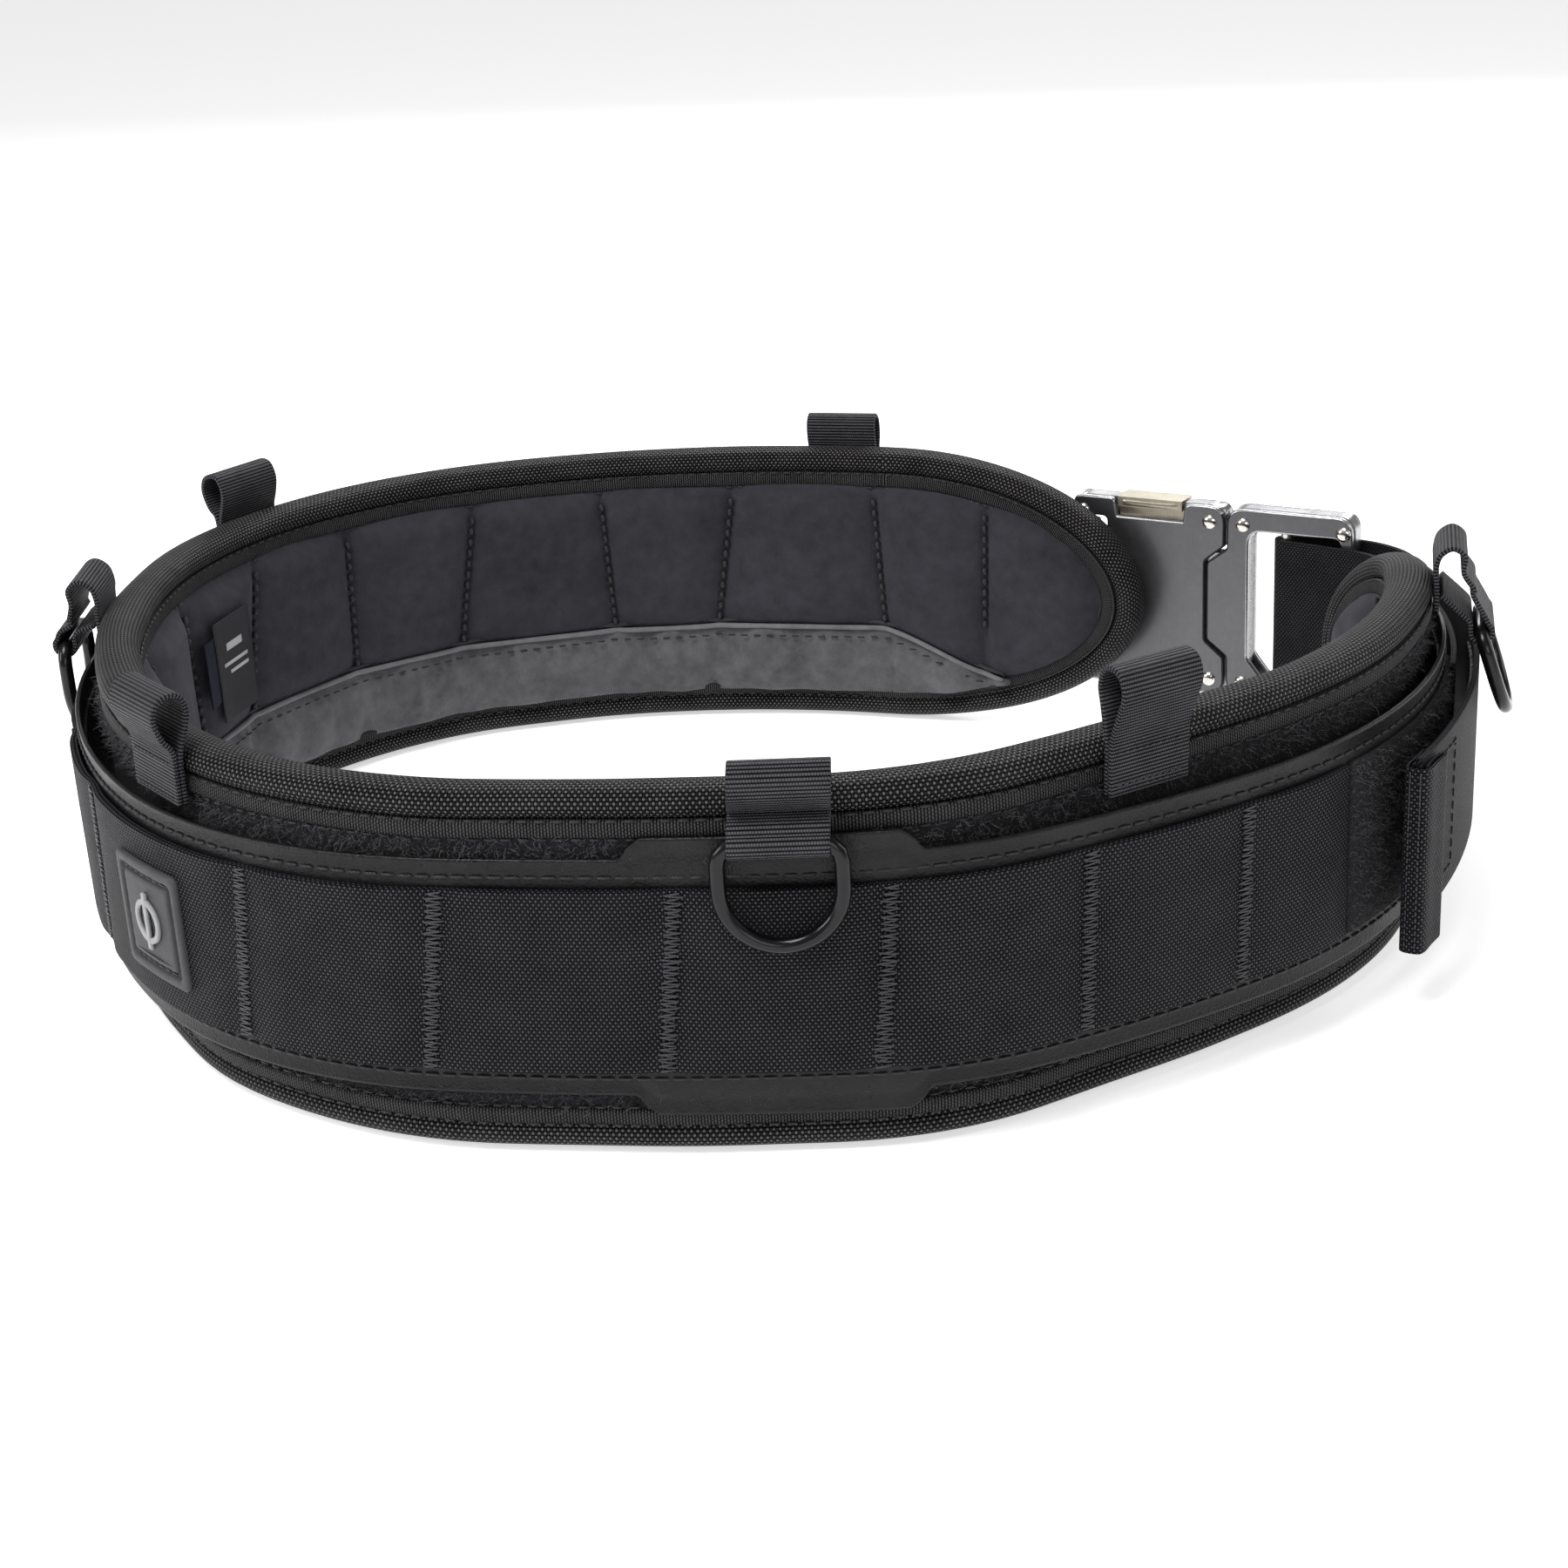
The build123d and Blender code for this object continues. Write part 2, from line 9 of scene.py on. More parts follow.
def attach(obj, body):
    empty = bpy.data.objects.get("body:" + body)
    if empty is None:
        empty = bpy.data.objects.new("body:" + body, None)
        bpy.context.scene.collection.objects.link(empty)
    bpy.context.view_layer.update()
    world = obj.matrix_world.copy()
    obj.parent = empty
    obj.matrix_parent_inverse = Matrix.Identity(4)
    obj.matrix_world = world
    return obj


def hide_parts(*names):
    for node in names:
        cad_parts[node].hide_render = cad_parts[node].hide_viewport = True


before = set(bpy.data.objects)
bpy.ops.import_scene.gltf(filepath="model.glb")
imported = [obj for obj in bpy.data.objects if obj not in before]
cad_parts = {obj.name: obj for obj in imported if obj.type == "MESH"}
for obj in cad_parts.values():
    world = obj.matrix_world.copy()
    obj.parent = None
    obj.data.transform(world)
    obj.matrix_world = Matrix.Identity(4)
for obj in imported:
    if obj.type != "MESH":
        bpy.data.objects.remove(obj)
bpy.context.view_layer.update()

MM = 0.001
UP = np.array([0.0, 0.0, 1.0])
rng = np.random.default_rng(7)

# ---- sizes in millimetres, as in the CAD source -----------------------------------------------------
PAD_START = (129.65, 112.45)
PAD_HEADING = 147.5
PAD_ARCS = ((387, 19.5), (231, 27.5), (127, 68.5), (227, 39.5), (131, 47.0),
            (594, 8.0), (105, 30.5), (750, 5.5), (155, 74.0))
BELT_START = (107.65, 134.85)
BELT_HEADING = 149.5
BELT_ARCS = ((346, 16.0), (245, 26.5), (147, 73.0), (229, 36.5), (138, 47.0),
             (630, 9.5), (112, 25.5), (452, 8.5), (163, 33.0), (164, 31.0))
HEIGHT = 100.0
TAPER = 95.0
MIDDLE = 50.0
FLANGE = 12.4              # depth of the binding from the sleeve's edge
WEB_END = 909.0
PATCH_END = 1005.0
TAB_STATION = 741.0
TAB_HALF = 32.0
BADGE_STATION = 560.0
BADGE_Z = 49.6
BADGE_HALF = 16.6
LABEL_STATION = 372.0
HAIR_RADIUS = 0.1          # of the loose pile
LOOP_WIDTH = 25.0
LOOP_THICK = 1.5
EYE_RADIUS = 3.12          # middle of the webbing round a ring's bar
RING_HALF = 15.2
RING_STRAIGHT = 12.0
RING_CORNER = 5.5
RING_WIRE = 2.05
BUCKLE_CENTRE = (160.15, 111.05, MIDDLE)
BUCKLE_HEADING = -31.0
BUCKLE_HALF = 34.0
NOSE = 7.0                 # how far the male half's nose reaches into the female half
PLATE_BACK = 2.6
PLATE_FACE = 5.0
CORE_HALF = 3.3
FEMALE_RIVETS = (-53.0, -6.0)
MALE_RIVETS = (6.0, 41.5)
RIVET_V = 28.5
STRAP_LEAVE = (40.0, 6.3)
STRAP_HALF_THICK = 0.9
CAMERA_PLACE = (0.00165, -0.75455, 0.33077)
CAMERA_DOWN = 21.4598      # degrees below level
CAMERA_ROLL = -0.0569257   # radians
RING_LOOPS = {"rear": (112, 88.6, 15.2, 0.0), "left": (425, 88.6, 19.2, 0.0),
              "front": (734, 88.6, 13.9, 0.0), "right": (985, 84.0, 21.0, 18.0)}
TOOL_LOOPS = {"tool_loop_rear_left": (328, 115.0), "tool_loop_side": (562, 116.0),
              "tool_loop_front_right": (828, 119.0)}
# quilting lines of the lining: station at the top and at the bottom
QUILT = ((56, 57), (98, 95), (151, 159), (200, 198), (248, 257), (299, 301), (343, 355), (396, 392),
         (446, 456), (500, 496), (552, 561), (604, 600), (656, 664), (708, 704), (760, 768),
         (812, 808), (864, 871), (916, 912), (968, 974), (1008, 1006))
# bartacks of the webbing: station at the top and at the bottom
BARTACKS = ((28, 28), (84, 82), (140, 138), (196, 194), (252, 250), (308, 306), (364, 362), (420, 418),
            (466, 464), (516, 511), (601, 595), (657, 651), (717, 712), (770, 766), (822, 820),
            (871, 869))


# ---- plan routes ------------------------------------------------------------------------------------
class Route:
    """A chain of tangent arcs in plan; negative radius and sweep turn clockwise."""

    def __init__(self, start, heading, arcs):
        x, y = start
        turn = math.radians(heading)
        station = 0.0
        legs = []
        for radius, sweep in arcs:
            angle = math.radians(sweep)
            legs.append((station, x, y, turn, radius))
            station += abs(radius * angle)
            x += radius * (math.sin(turn + angle) - math.sin(turn))
            y -= radius * (math.cos(turn + angle) - math.cos(turn))
            turn += angle
        self.legs = np.array(legs)
        self.length = station

    def plan(self, s):
        """x, y and heading at each station; past either end, its arc goes on."""
        s = np.asarray(s, float)
        found = np.searchsorted(self.legs[:, 0], s, side="right") - 1
        leg = self.legs[np.clip(found, 0, len(self.legs) - 1)]
        begin, x, y, turn, radius = np.moveaxis(leg, -1, 0)
        angle = (s - begin) / radius
        x = x + radius * (np.sin(turn + angle) - np.sin(turn))
        y = y - radius * (np.cos(turn + angle) - np.cos(turn))
        return x, y, turn + angle

    def at(self, s, off, z):
        """Points in metres; station, offset outwards and height in millimetres, as arrays."""
        s, off, z = np.broadcast_arrays(*(np.asarray(value, float) for value in (s, off, z)))
        x, y, turn = self.plan(s)
        return np.stack([x + off * np.sin(turn), y - off * np.cos(turn), z], -1) * MM

    def out(self, s):
        """Outward unit vectors."""
        _, _, turn = self.plan(s)
        return np.stack([np.sin(turn), -np.cos(turn), np.zeros_like(turn)], -1)


def buckle_point(u, w, v):
    """Metres from the buckle's own u, w and v in millimetres."""
    turn = math.radians(BUCKLE_HEADING)
    u, w, v = np.broadcast_arrays(*(np.asarray(value, float) for value in (u, w, v)))
    x = BUCKLE_CENTRE[0] + u * math.cos(turn) - w * math.sin(turn)
    y = BUCKLE_CENTRE[1] + u * math.sin(turn) + w * math.cos(turn)
    return np.stack([x, y, BUCKLE_CENTRE[2] + v], -1) * MM


pad = Route(PAD_START, PAD_HEADING, PAD_ARCS)
belt = Route(BELT_START, BELT_HEADING, BELT_ARCS)


def strap_route(side, arcs):
    """One run of the strap, from where it leaves the buckle."""
    start = buckle_point(STRAP_LEAVE[0], side * STRAP_LEAVE[1], 0) / MM
    return Route((float(start[0]), float(start[1])), BUCKLE_HEADING, arcs)


outer_run = strap_route(1, ((-32, -50.5), (-255, -43.2)))
inner_run = strap_route(-1, ((-25, -45.0), (-188, -32.5)))


# ---- meshes -----------------------------------------------------------------------------------------
def link(name, data):
    """A new object in the scene."""
    item = bpy.data.objects.new(name, data)
    bpy.context.scene.collection.objects.link(item)
    return item


def mesh_object(name, verts, faces, uv=None):
    mesh = bpy.data.meshes.new(name)
    mesh.from_pydata([tuple(v) for v in np.asarray(verts, float)], [], [tuple(f) for f in faces])
    if uv is not None:
        layer = mesh.uv_layers.new(name="UVMap")
        layer.data.foreach_set("uv", np.asarray(uv, np.float32).ravel())
    mesh.update()
    mesh.shade_smooth()
    return link(name, mesh)


def grid_faces(n, m, close_n, close_m, base=0, flip=False):
    """Quads of an n by m grid of points, with the (row, column) of each corner before wrapping."""
    rows = n if close_n else n - 1
    cols = m if close_m else m - 1
    i, j = np.meshgrid(np.arange(rows), np.arange(cols), indexing="ij")
    corner_i = np.stack([i, i + 1, i + 1, i], -1).reshape(-1, 4)
    corner_j = np.stack([j, j, j + 1, j + 1], -1).reshape(-1, 4)
    if flip:
        corner_i, corner_j = corner_i[:, ::-1], corner_j[:, ::-1]
    return base + (corner_i % n) * m + corner_j % m, corner_i, corner_j


def tube_mesh(name, points, u, v, close_n=False):
    """A closed skin: rows of points along a path, each row a closed loop; close_n joins its ends.

    u and v are UV metres.
    """
    n, m = points.shape[:2]
    faces, ci, cj = grid_faces(n, m, close_n, True)
    u = np.append(u, u[-1] + (u[1] - u[0])) if len(u) == n else u
    v = np.append(v, v[-1] + (v[1] - v[0])) if len(v) == m else v
    uv = list(np.stack([u[ci], v[cj]], -1).reshape(-1, 2))
    faces = faces.tolist()
    if not close_n:
        for row, order in ((0, range(m)), (n - 1, range(m - 1, -1, -1))):
            faces.append([row * m + k for k in order])
            uv += [(u[row], v[k]) for k in order]
    piece = mesh_object(name, points.reshape(-1, 3), faces, uv)
    fix_normals(piece)
    return piece


def slab_mesh(name, front, back, u, v):
    """A closed sheet between two grids of points."""
    n, m = front.shape[:2]
    size = n * m
    near, _, _ = grid_faces(n, m, False, False)
    far, _, _ = grid_faces(n, m, False, False, size, True)
    rim = [i * m for i in range(n)] + [(n - 1) * m + j for j in range(1, m)]
    rim += [i * m + m - 1 for i in range(n - 2, -1, -1)] + [j for j in range(m - 2, 0, -1)]
    uu = np.broadcast_to(u, (n, m)).ravel()
    vv = np.broadcast_to(v, (n, m)).ravel()
    faces = near.tolist() + far.tolist()
    uv = [(uu[k % size], vv[k % size]) for f in faces for k in f]
    for a, b in zip(rim, rim[1:] + rim[:1]):
        faces.append([a, b, b + size, a + size])
        uv += [(uu[a], vv[a]), (uu[b], vv[b]), (uu[b], vv[b]), (uu[a], vv[a])]
    piece = mesh_object(name, np.concatenate([front.reshape(-1, 3), back.reshape(-1, 3)]), faces, uv)
    fix_normals(piece)
    return piece


def fix_normals(piece, weld=2e-6):
    """Welds doubled points and turns every face outwards."""
    bm = bmesh.new()
    bm.from_mesh(piece.data)
    bmesh.ops.remove_doubles(bm, verts=bm.verts, dist=weld)
    bmesh.ops.recalc_face_normals(bm, faces=bm.faces)
    bm.to_mesh(piece.data)
    bm.free()


def band_profile(low, high, inner, outer, across=14, corner=0.35):
    """Closed (offset, height) loop of a flat band with rounded edges."""
    up = np.linspace(low + corner, high - corner, across)
    bend = np.radians((25, 65))
    loop = [(outer, z) for z in up]
    loop += [(outer - corner + corner * math.cos(a), high - corner + corner * math.sin(a)) for a in bend]
    loop += [(inner + corner - corner * math.sin(a), high - corner + corner * math.cos(a)) for a in bend]
    loop += [(inner, z) for z in up[::-1]]
    loop += [(inner + corner - corner * math.cos(a), low + corner - corner * math.sin(a)) for a in bend]
    loop += [(outer - corner + corner * math.sin(a), low + corner - corner * math.cos(a)) for a in bend]
    return np.array(loop)


def run_length(loop):
    """Distance along a closed loop of points, one more value than points."""
    step = np.linalg.norm(np.roll(loop, -1, 0) - loop, axis=1)
    return np.concatenate([[0], np.cumsum(step)])


def route_band(name, route, first, last, low, high, inner, outer, step, across, shape):
    """Webbing along a route. shape(s, off, z) moves the points."""
    s = np.linspace(first, last, max(3, int((last - first) / step)))
    loop = band_profile(low, high, inner, outer, across)
    off = np.broadcast_to(loop[:, 0], (len(s), len(loop))).copy()
    z = np.broadcast_to(loop[:, 1], off.shape).copy()
    ss = np.broadcast_to(s[:, None], off.shape)
    off, z = shape(ss, off, z)
    return tube_mesh(name, route.at(ss, off, z), s * MM, run_length(loop) * MM)


CAPSULE = np.array([(-0.5, 0.35), (-0.38, 0.9), (0.0, 1.0), (0.38, 0.9), (0.5, 0.35)])


def threads(name, starts, ends, normals, radius, arch=0.0):
    """Stitches: one short rounded thread from each start to each end, arching along the normal."""
    starts, ends, normals = (np.asarray(a, float) for a in (starts, ends, normals))
    along = ends - starts
    side = np.cross(along, normals)
    side /= np.linalg.norm(side, axis=1, keepdims=True)
    sides = 6
    verts, faces = [], []
    ring = [(math.cos(a), math.sin(a)) for a in np.linspace(0, 2 * math.pi, sides, endpoint=False)]
    count = len(starts)
    for t, r in CAPSULE:
        centre = starts + along * (t + 0.5) + normals * (arch * (1 - 4 * t * t))
        for c, d in ring:
            verts.append(centre + side * (radius * r * c) + normals * (radius * r * d))
    verts = np.stack(verts, 1)
    size = verts.shape[1]
    unit, _, _ = grid_faces(len(CAPSULE), sides, False, True)
    unit = unit.tolist() + [list(range(sides))[::-1], [size - sides + k for k in range(sides)]]
    for k in range(count):
        faces += [[k * size + x for x in f] for f in unit]
    return mesh_object(name, verts.reshape(-1, 3), faces)


def join(name, pieces):
    """One object out of several, without materials."""
    bm = bmesh.new()
    for piece in pieces:
        bm.from_mesh(piece.data)
    mesh = bpy.data.meshes.new(name)
    bm.to_mesh(mesh)
    bm.free()
    for piece in pieces:
        bpy.data.objects.remove(piece)
    mesh.shade_smooth()
    return link(name, mesh)


# ---- materials --------------------------------------------------------------------------------------
class Maker:
    """Short calls for building a node material."""

    def __init__(self, name):
        self.material = bpy.data.materials.new(name)
        self.material.use_nodes = True
        self.tree = self.material.node_tree
        self.shader = self.tree.nodes["Principled BSDF"]

    def node(self, kind, **values):
        item = self.tree.nodes.new(kind)
        for key, value in values.items():
            setattr(item, key, value)
        return item

    def put(self, source, target):
        if isinstance(source, (int, float)):
            target.default_value = source
        elif isinstance(source, tuple):
            target.default_value = (*source, 1.0) if len(source) == 3 else source
        else:
            self.tree.links.new(source, target)

    def math(self, operation, a, b=0.0, c=0.0):
        item = self.node("ShaderNodeMath", operation=operation)
        for value, socket in zip((a, b, c), item.inputs):
            self.put(value, socket)
        return item.outputs[0]

    def uv(self):
        if not hasattr(self, "_uv"):
            split = self.node("ShaderNodeSeparateXYZ")
            coords = self.node("ShaderNodeUVMap", uv_map="UVMap")
            self.tree.links.new(coords.outputs[0], split.inputs[0])
            self._uv = split.outputs[0], split.outputs[1]
        return self._uv

    def position(self):
        return self.node("ShaderNodeTexCoord").outputs["Object"]

    def noise(self, scale, detail=3.0, rough=0.55):
        item = self.node("ShaderNodeTexNoise")
        item.inputs["Scale"].default_value = scale
        item.inputs["Detail"].default_value = detail
        item.inputs["Roughness"].default_value = rough
        self.tree.links.new(self.position(), item.inputs["Vector"])
        return item.outputs["Fac"]

    def ramp(self, value, dark, light, low=0.0, high=1.0):
        item = self.node("ShaderNodeValToRGB")
        item.color_ramp.elements[0].position = low
        item.color_ramp.elements[0].color = (*dark, 1)
        item.color_ramp.elements[1].position = high
        item.color_ramp.elements[1].color = (*light, 1)
        self.put(value, item.inputs[0])
        return item.outputs[0]

    def span(self, value, low, high):
        item = self.node("ShaderNodeMapRange")
        self.put(value, item.inputs[0])
        item.inputs[3].default_value = low
        item.inputs[4].default_value = high
        return item.outputs[0]

    def finish(self, colour, roughness, height, depth, specular, sheen=0.0, metallic=0.0, coat=0.0,
               sheen_tint=(1.0, 1.0, 1.0)):
        """Sets the shader; height is bumped by a depth in millimetres."""
        self.put(colour, self.shader.inputs["Base Color"])
        self.put(roughness, self.shader.inputs["Roughness"])
        self.shader.inputs["Specular IOR Level"].default_value = specular
        self.shader.inputs["Metallic"].default_value = metallic
        self.shader.inputs["Coat Weight"].default_value = coat
        self.shader.inputs["Coat Roughness"].default_value = 0.12
        if sheen:
            self.shader.inputs["Sheen Weight"].default_value = sheen
            self.shader.inputs["Sheen Roughness"].default_value = 0.45
            self.shader.inputs["Sheen Tint"].default_value = (*sheen_tint, 1)
        bump = self.node("ShaderNodeBump")
        bump.inputs["Strength"].default_value = 1.0
        bump.inputs["Distance"].default_value = depth * MM
        self.put(height, bump.inputs["Height"])
        self.tree.links.new(bump.outputs[0], self.shader.inputs["Normal"])
        return self.material


def weave_height(m, pitch_u, pitch_v, sharp):
    """Height of threads that pass over and under each other, and a painted highlight that is 1 on the thread
    tops, mostly the weft's, and 0 in the gaps, where it gives painted shade; pitches in millimetres.
    """
    u, v = m.uv()
    a = m.math("MULTIPLY", u, 1 / (pitch_u * MM))
    b = m.math("MULTIPLY", v, 1 / (pitch_v * MM))
    pi = math.pi
    hump_a = m.math("POWER", m.math("ABSOLUTE", m.math("SINE", m.math("MULTIPLY", a, pi))), sharp)
    hump_b = m.math("POWER", m.math("ABSOLUTE", m.math("SINE", m.math("MULTIPLY", b, pi))), sharp)
    turn_b = m.math("MULTIPLY", m.math("ADD", m.math("SUBTRACT", b, 0.5), m.math("FLOOR", a)), pi)
    turn_a = m.math("MULTIPLY", m.math("ADD", m.math("SUBTRACT", a, 0.5), m.math("FLOOR", b)), pi)
    over = m.math("MULTIPLY_ADD", m.math("COSINE", turn_b), 0.5, 0.5)
    under = m.math("MULTIPLY_ADD", m.math("COSINE", turn_a), -0.5, 0.5)
    warp = m.math("MULTIPLY", hump_a, over)
    weft = m.math("MULTIPLY", hump_b, under)
    return m.math("MAXIMUM", warp, weft), m.math("MAXIMUM", m.math("MULTIPLY", warp, 0.55), weft)


def weave(name, pitch_u, pitch_v, dark, light, rough, depth, sharp=0.6):
    m = Maker(name)
    height, painted_highlight = weave_height(m, pitch_u, pitch_v, sharp)
    fibre = m.noise(5200, 2)
    cloud = m.math("MULTIPLY_ADD", m.noise(90, 4), 0.7, 0.65)
    tone = m.math("MULTIPLY", cloud, m.math("ADD", fibre, 0.5))
    # Painted highlight and painted shade: the colour is light on the thread tops and black in the gaps, times
    # a random tone.
    shade = m.math("MULTIPLY", m.math("POWER", painted_highlight, 1.6), tone)
    full = m.math("MULTIPLY_ADD", fibre, 0.18, height)
    return m.finish(m.ramp(shade, dark, light, 0.26, 0.82), m.span(fibre, rough - 0.1, rough + 0.14),
                    full, depth, 0.09)


def ribbed(name, rib, bead, dark, light, rough, depth):
    """Webbing with ribs across its length, each a row of small beads; the colour is light on the rib and bead
    tops and black between them, a painted highlight and painted shade.
    """
    m = Maker(name)
    u, v = m.uv()
    row = m.math("MULTIPLY", u, 1 / (rib * MM))
    ridge = m.math("POWER", m.math("ABSOLUTE", m.math("SINE", m.math("MULTIPLY", row, math.pi))), 0.55)
    shift = m.math("MULTIPLY", m.math("FLOOR", row), 0.5)
    slot = m.math("MULTIPLY", m.math("ADD", m.math("MULTIPLY", v, 1 / (bead * MM)), shift), math.pi)
    beads = m.math("POWER", m.math("ABSOLUTE", m.math("SINE", slot)), 0.5)
    height = m.math("MULTIPLY", ridge, m.math("MULTIPLY_ADD", beads, 0.4, 0.6))
    fibre = m.noise(5200, 2)
    # Painted highlight on the raised ribs and beads and painted shade between them, times a random tone.
    shade = m.math("MULTIPLY", m.math("POWER", height, 2.2), m.math("MULTIPLY_ADD", m.noise(140), 0.8, 0.7))
    return m.finish(m.ramp(shade, dark, light, 0.2, 0.95), m.span(fibre, rough - 0.1, rough + 0.15),
                    m.math("MULTIPLY_ADD", fibre, 0.14, height), depth, 0.09)


def soft_cloth(name, dark, light, rough=0.8, sheen=0.06):
    m = Maker(name)
    fine = m.noise(3000, 3)
    broad = m.noise(25, 4)
    mottle = m.math("MULTIPLY_ADD", m.noise(170, 5, 0.65), 0.5, m.math("MULTIPLY", fine, 0.15))
    shade = m.math("MULTIPLY_ADD", broad, 0.35, mottle)
    return m.finish(m.ramp(shade, dark, light, 0.3, 0.7), m.span(broad, rough - 0.08, rough + 0.08), fine,
                    0.12, 0.12, sheen, sheen_tint=(0.9, 0.92, 1.0))


def fuzzy(name, dark, light):
    m = Maker(name)
    curl = m.noise(900, 6, 0.75)
    return m.finish(m.ramp(curl, dark, light, 0.3, 0.72), 0.85, curl, 1.4, 0.15, 0.03)


def thread_material(name, dark, light, rough=0.4):
    m = Maker(name)
    twist = m.node("ShaderNodeTexWave", wave_type="BANDS", bands_direction="DIAGONAL")
    twist.inputs["Scale"].default_value = 900
    twist.inputs["Distortion"].default_value = 1.5
    m.tree.links.new(m.position(), twist.inputs["Vector"])
    return m.finish(m.ramp(twist.outputs["Fac"], dark, light), rough, twist.outputs["Fac"], 0.08, 0.35)


def grained(name, dark, light, rough, scale, depth):
    """Laminate or rubber: fine grain, cloudy tone and scuffs."""
    m = Maker(name)
    cells = m.node("ShaderNodeTexVoronoi")
    cells.inputs["Scale"].default_value = scale
    m.tree.links.new(m.position(), cells.inputs["Vector"])
    cloud = m.noise(40, 5)
    scuff = m.math("POWER", m.noise(300, 6, 0.7), 3.0)
    shade = m.math("ADD", m.math("MULTIPLY", cloud, 0.7), scuff)
    return m.finish(m.ramp(shade, dark, light, 0.2, 0.8), m.span(cloud, rough - 0.08, rough + 0.14),
                    m.math("ADD", cells.outputs["Distance"], m.math("MULTIPLY", scuff, 0.5)), depth, 0.22)


def metal(name, dark, light, rough=0.25, metallic=1.0, brush=2500, depth=0.02, coat=0.0):
    m = Maker(name)
    stretch = m.node("ShaderNodeMapping")
    stretch.inputs["Scale"].default_value = (1.0, 1.0, 0.04)
    m.tree.links.new(m.position(), stretch.inputs["Vector"])
    lines = m.node("ShaderNodeTexNoise")
    lines.inputs["Scale"].default_value = brush
    lines.inputs["Detail"].default_value = 2.0
    m.tree.links.new(stretch.outputs[0], lines.inputs["Vector"])
    cloud = m.noise(60, 4)
    wear = m.math("POWER", m.noise(420, 6, 0.7), 4.0)
    shade = m.math("ADD", m.math("MULTIPLY_ADD", cloud, 0.5, m.math("MULTIPLY", lines.outputs["Fac"], 0.25)),
                   wear)
    return m.finish(m.ramp(shade, dark, light, 0.2, 0.8), m.span(cloud, max(0.05, rough - 0.07), rough + 0.1),
                    lines.outputs["Fac"], depth, 0.5, 0.0, metallic, coat)


# Weave and rib materials: the light colour is a painted highlight on thread and rib tops; BLACK, in the gaps,
# is the cloth's own black plus painted shade.
BLACK = (0.0015, 0.0015, 0.002)
binding_cloth = weave("binding_weave", 0.8, 1.1, BLACK, (0.135, 0.127, 0.130), 0.44, 0.7, 0.6)
flange_cloth = ribbed("flange_ribs", 0.8, 1.0, BLACK, (0.060, 0.057, 0.058), 0.46, 0.6)
webbing_cloth = weave("webbing_weave", 0.72, 0.92, BLACK, (0.070, 0.070, 0.080), 0.5, 0.6, 0.6)
loop_cloth = ribbed("loop_ribs", 0.98, 0.72, BLACK, (0.080, 0.080, 0.088), 0.46, 0.6)
strap_cloth = weave("strap_weave", 0.62, 0.8, BLACK, (0.050, 0.050, 0.058), 0.5, 0.4, 0.7)
lining_cloth = soft_cloth("lining_knit", (0.016, 0.016, 0.020), (0.040, 0.040, 0.049))
cushion_cloth = soft_cloth("cushion_knit", (0.040, 0.040, 0.043), (0.135, 0.135, 0.142), 0.85, 0.15)
# The piping is coloured lighter than the band: painted highlight along the band's rounded top edge.
piping_cloth_painted_highlight = soft_cloth("piping_knit_painted_highlight", (0.09, 0.09, 0.095), (0.19, 0.19, 0.20), 0.7, 0.12)
pile_cloth = fuzzy("brushed_pile", (0.001, 0.001, 0.0015), (0.035, 0.035, 0.040))
pile_thread = thread_material("pile_loops", (0.010, 0.010, 0.012), (0.14, 0.14, 0.15), 0.6)
black_thread = thread_material("black_thread", (0.006, 0.006, 0.008), (0.065, 0.065, 0.075))
dark_thread = thread_material("dark_thread", (0.002, 0.002, 0.003), (0.03, 0.03, 0.035), 0.5)
laminate_skin = grained("laminate_grain", (0.0015, 0.0015, 0.002), (0.012, 0.012, 0.013), 0.34, 1500, 0.1)
badge_rubber = grained("badge_rubber", (0.030, 0.030, 0.032), (0.062, 0.062, 0.066), 0.5, 2600, 0.06)
emblem_rubber = grained("emblem_rubber", (0.22, 0.22, 0.225), (0.34, 0.34, 0.35), 0.45, 2600, 0.06)
hook_tape = grained("hook_tape", (0.008, 0.008, 0.009), (0.02, 0.02, 0.022), 0.5, 900, 0.5)
ring_metal = metal("ring_black_nickel", (0.004, 0.004, 0.005), (0.014, 0.014, 0.016), 0.22, 0.6, 900, 0.01,
                   0.1)
plate_face = metal("plate_dark_coat", (0.11, 0.11, 0.118), (0.16, 0.16, 0.168), 0.36, 0.85, 2500, 0.015, 0.2)
# Near-black metal: painted shadow in the gap between the buckle's two halves.
plate_gap_painted_shadow = metal("plate_split_shadow", (0.004, 0.004, 0.005), (0.012, 0.012, 0.013), 0.5, 0.3, 1500, 0.015)
plate_edge = metal("plate_bright_edge", (0.28, 0.28, 0.29), (0.55, 0.55, 0.56), 0.26, 1.0, 1500, 0.003)
rivet_metal = metal("rivet_polished", (0.60, 0.57, 0.52), (0.86, 0.83, 0.78), 0.16)
latch_metal = metal("latch_worn_brass", (0.26, 0.23, 0.17), (0.50, 0.46, 0.38), 0.3, 0.9)
spring_metal = metal("spring_wire", (0.4, 0.4, 0.4), (0.7, 0.7, 0.7), 0.22)
label_cloth = weave("label_satin", 0.35, 0.22, (0.02, 0.02, 0.023), (0.055, 0.055, 0.062), 0.4, 0.1)
label_dark = weave("label_dark_satin", 0.35, 0.22, (0.006, 0.007, 0.014), (0.02, 0.022, 0.045), 0.35, 0.1)
label_mark = weave("label_mark_thread", 0.35, 0.22, (0.35, 0.35, 0.36), (0.6, 0.6, 0.61), 0.5, 0.1)
cad_webbing = grained("anchor_webbing", (0.004, 0.004, 0.005), (0.030, 0.030, 0.034), 0.6, 1300, 0.3)
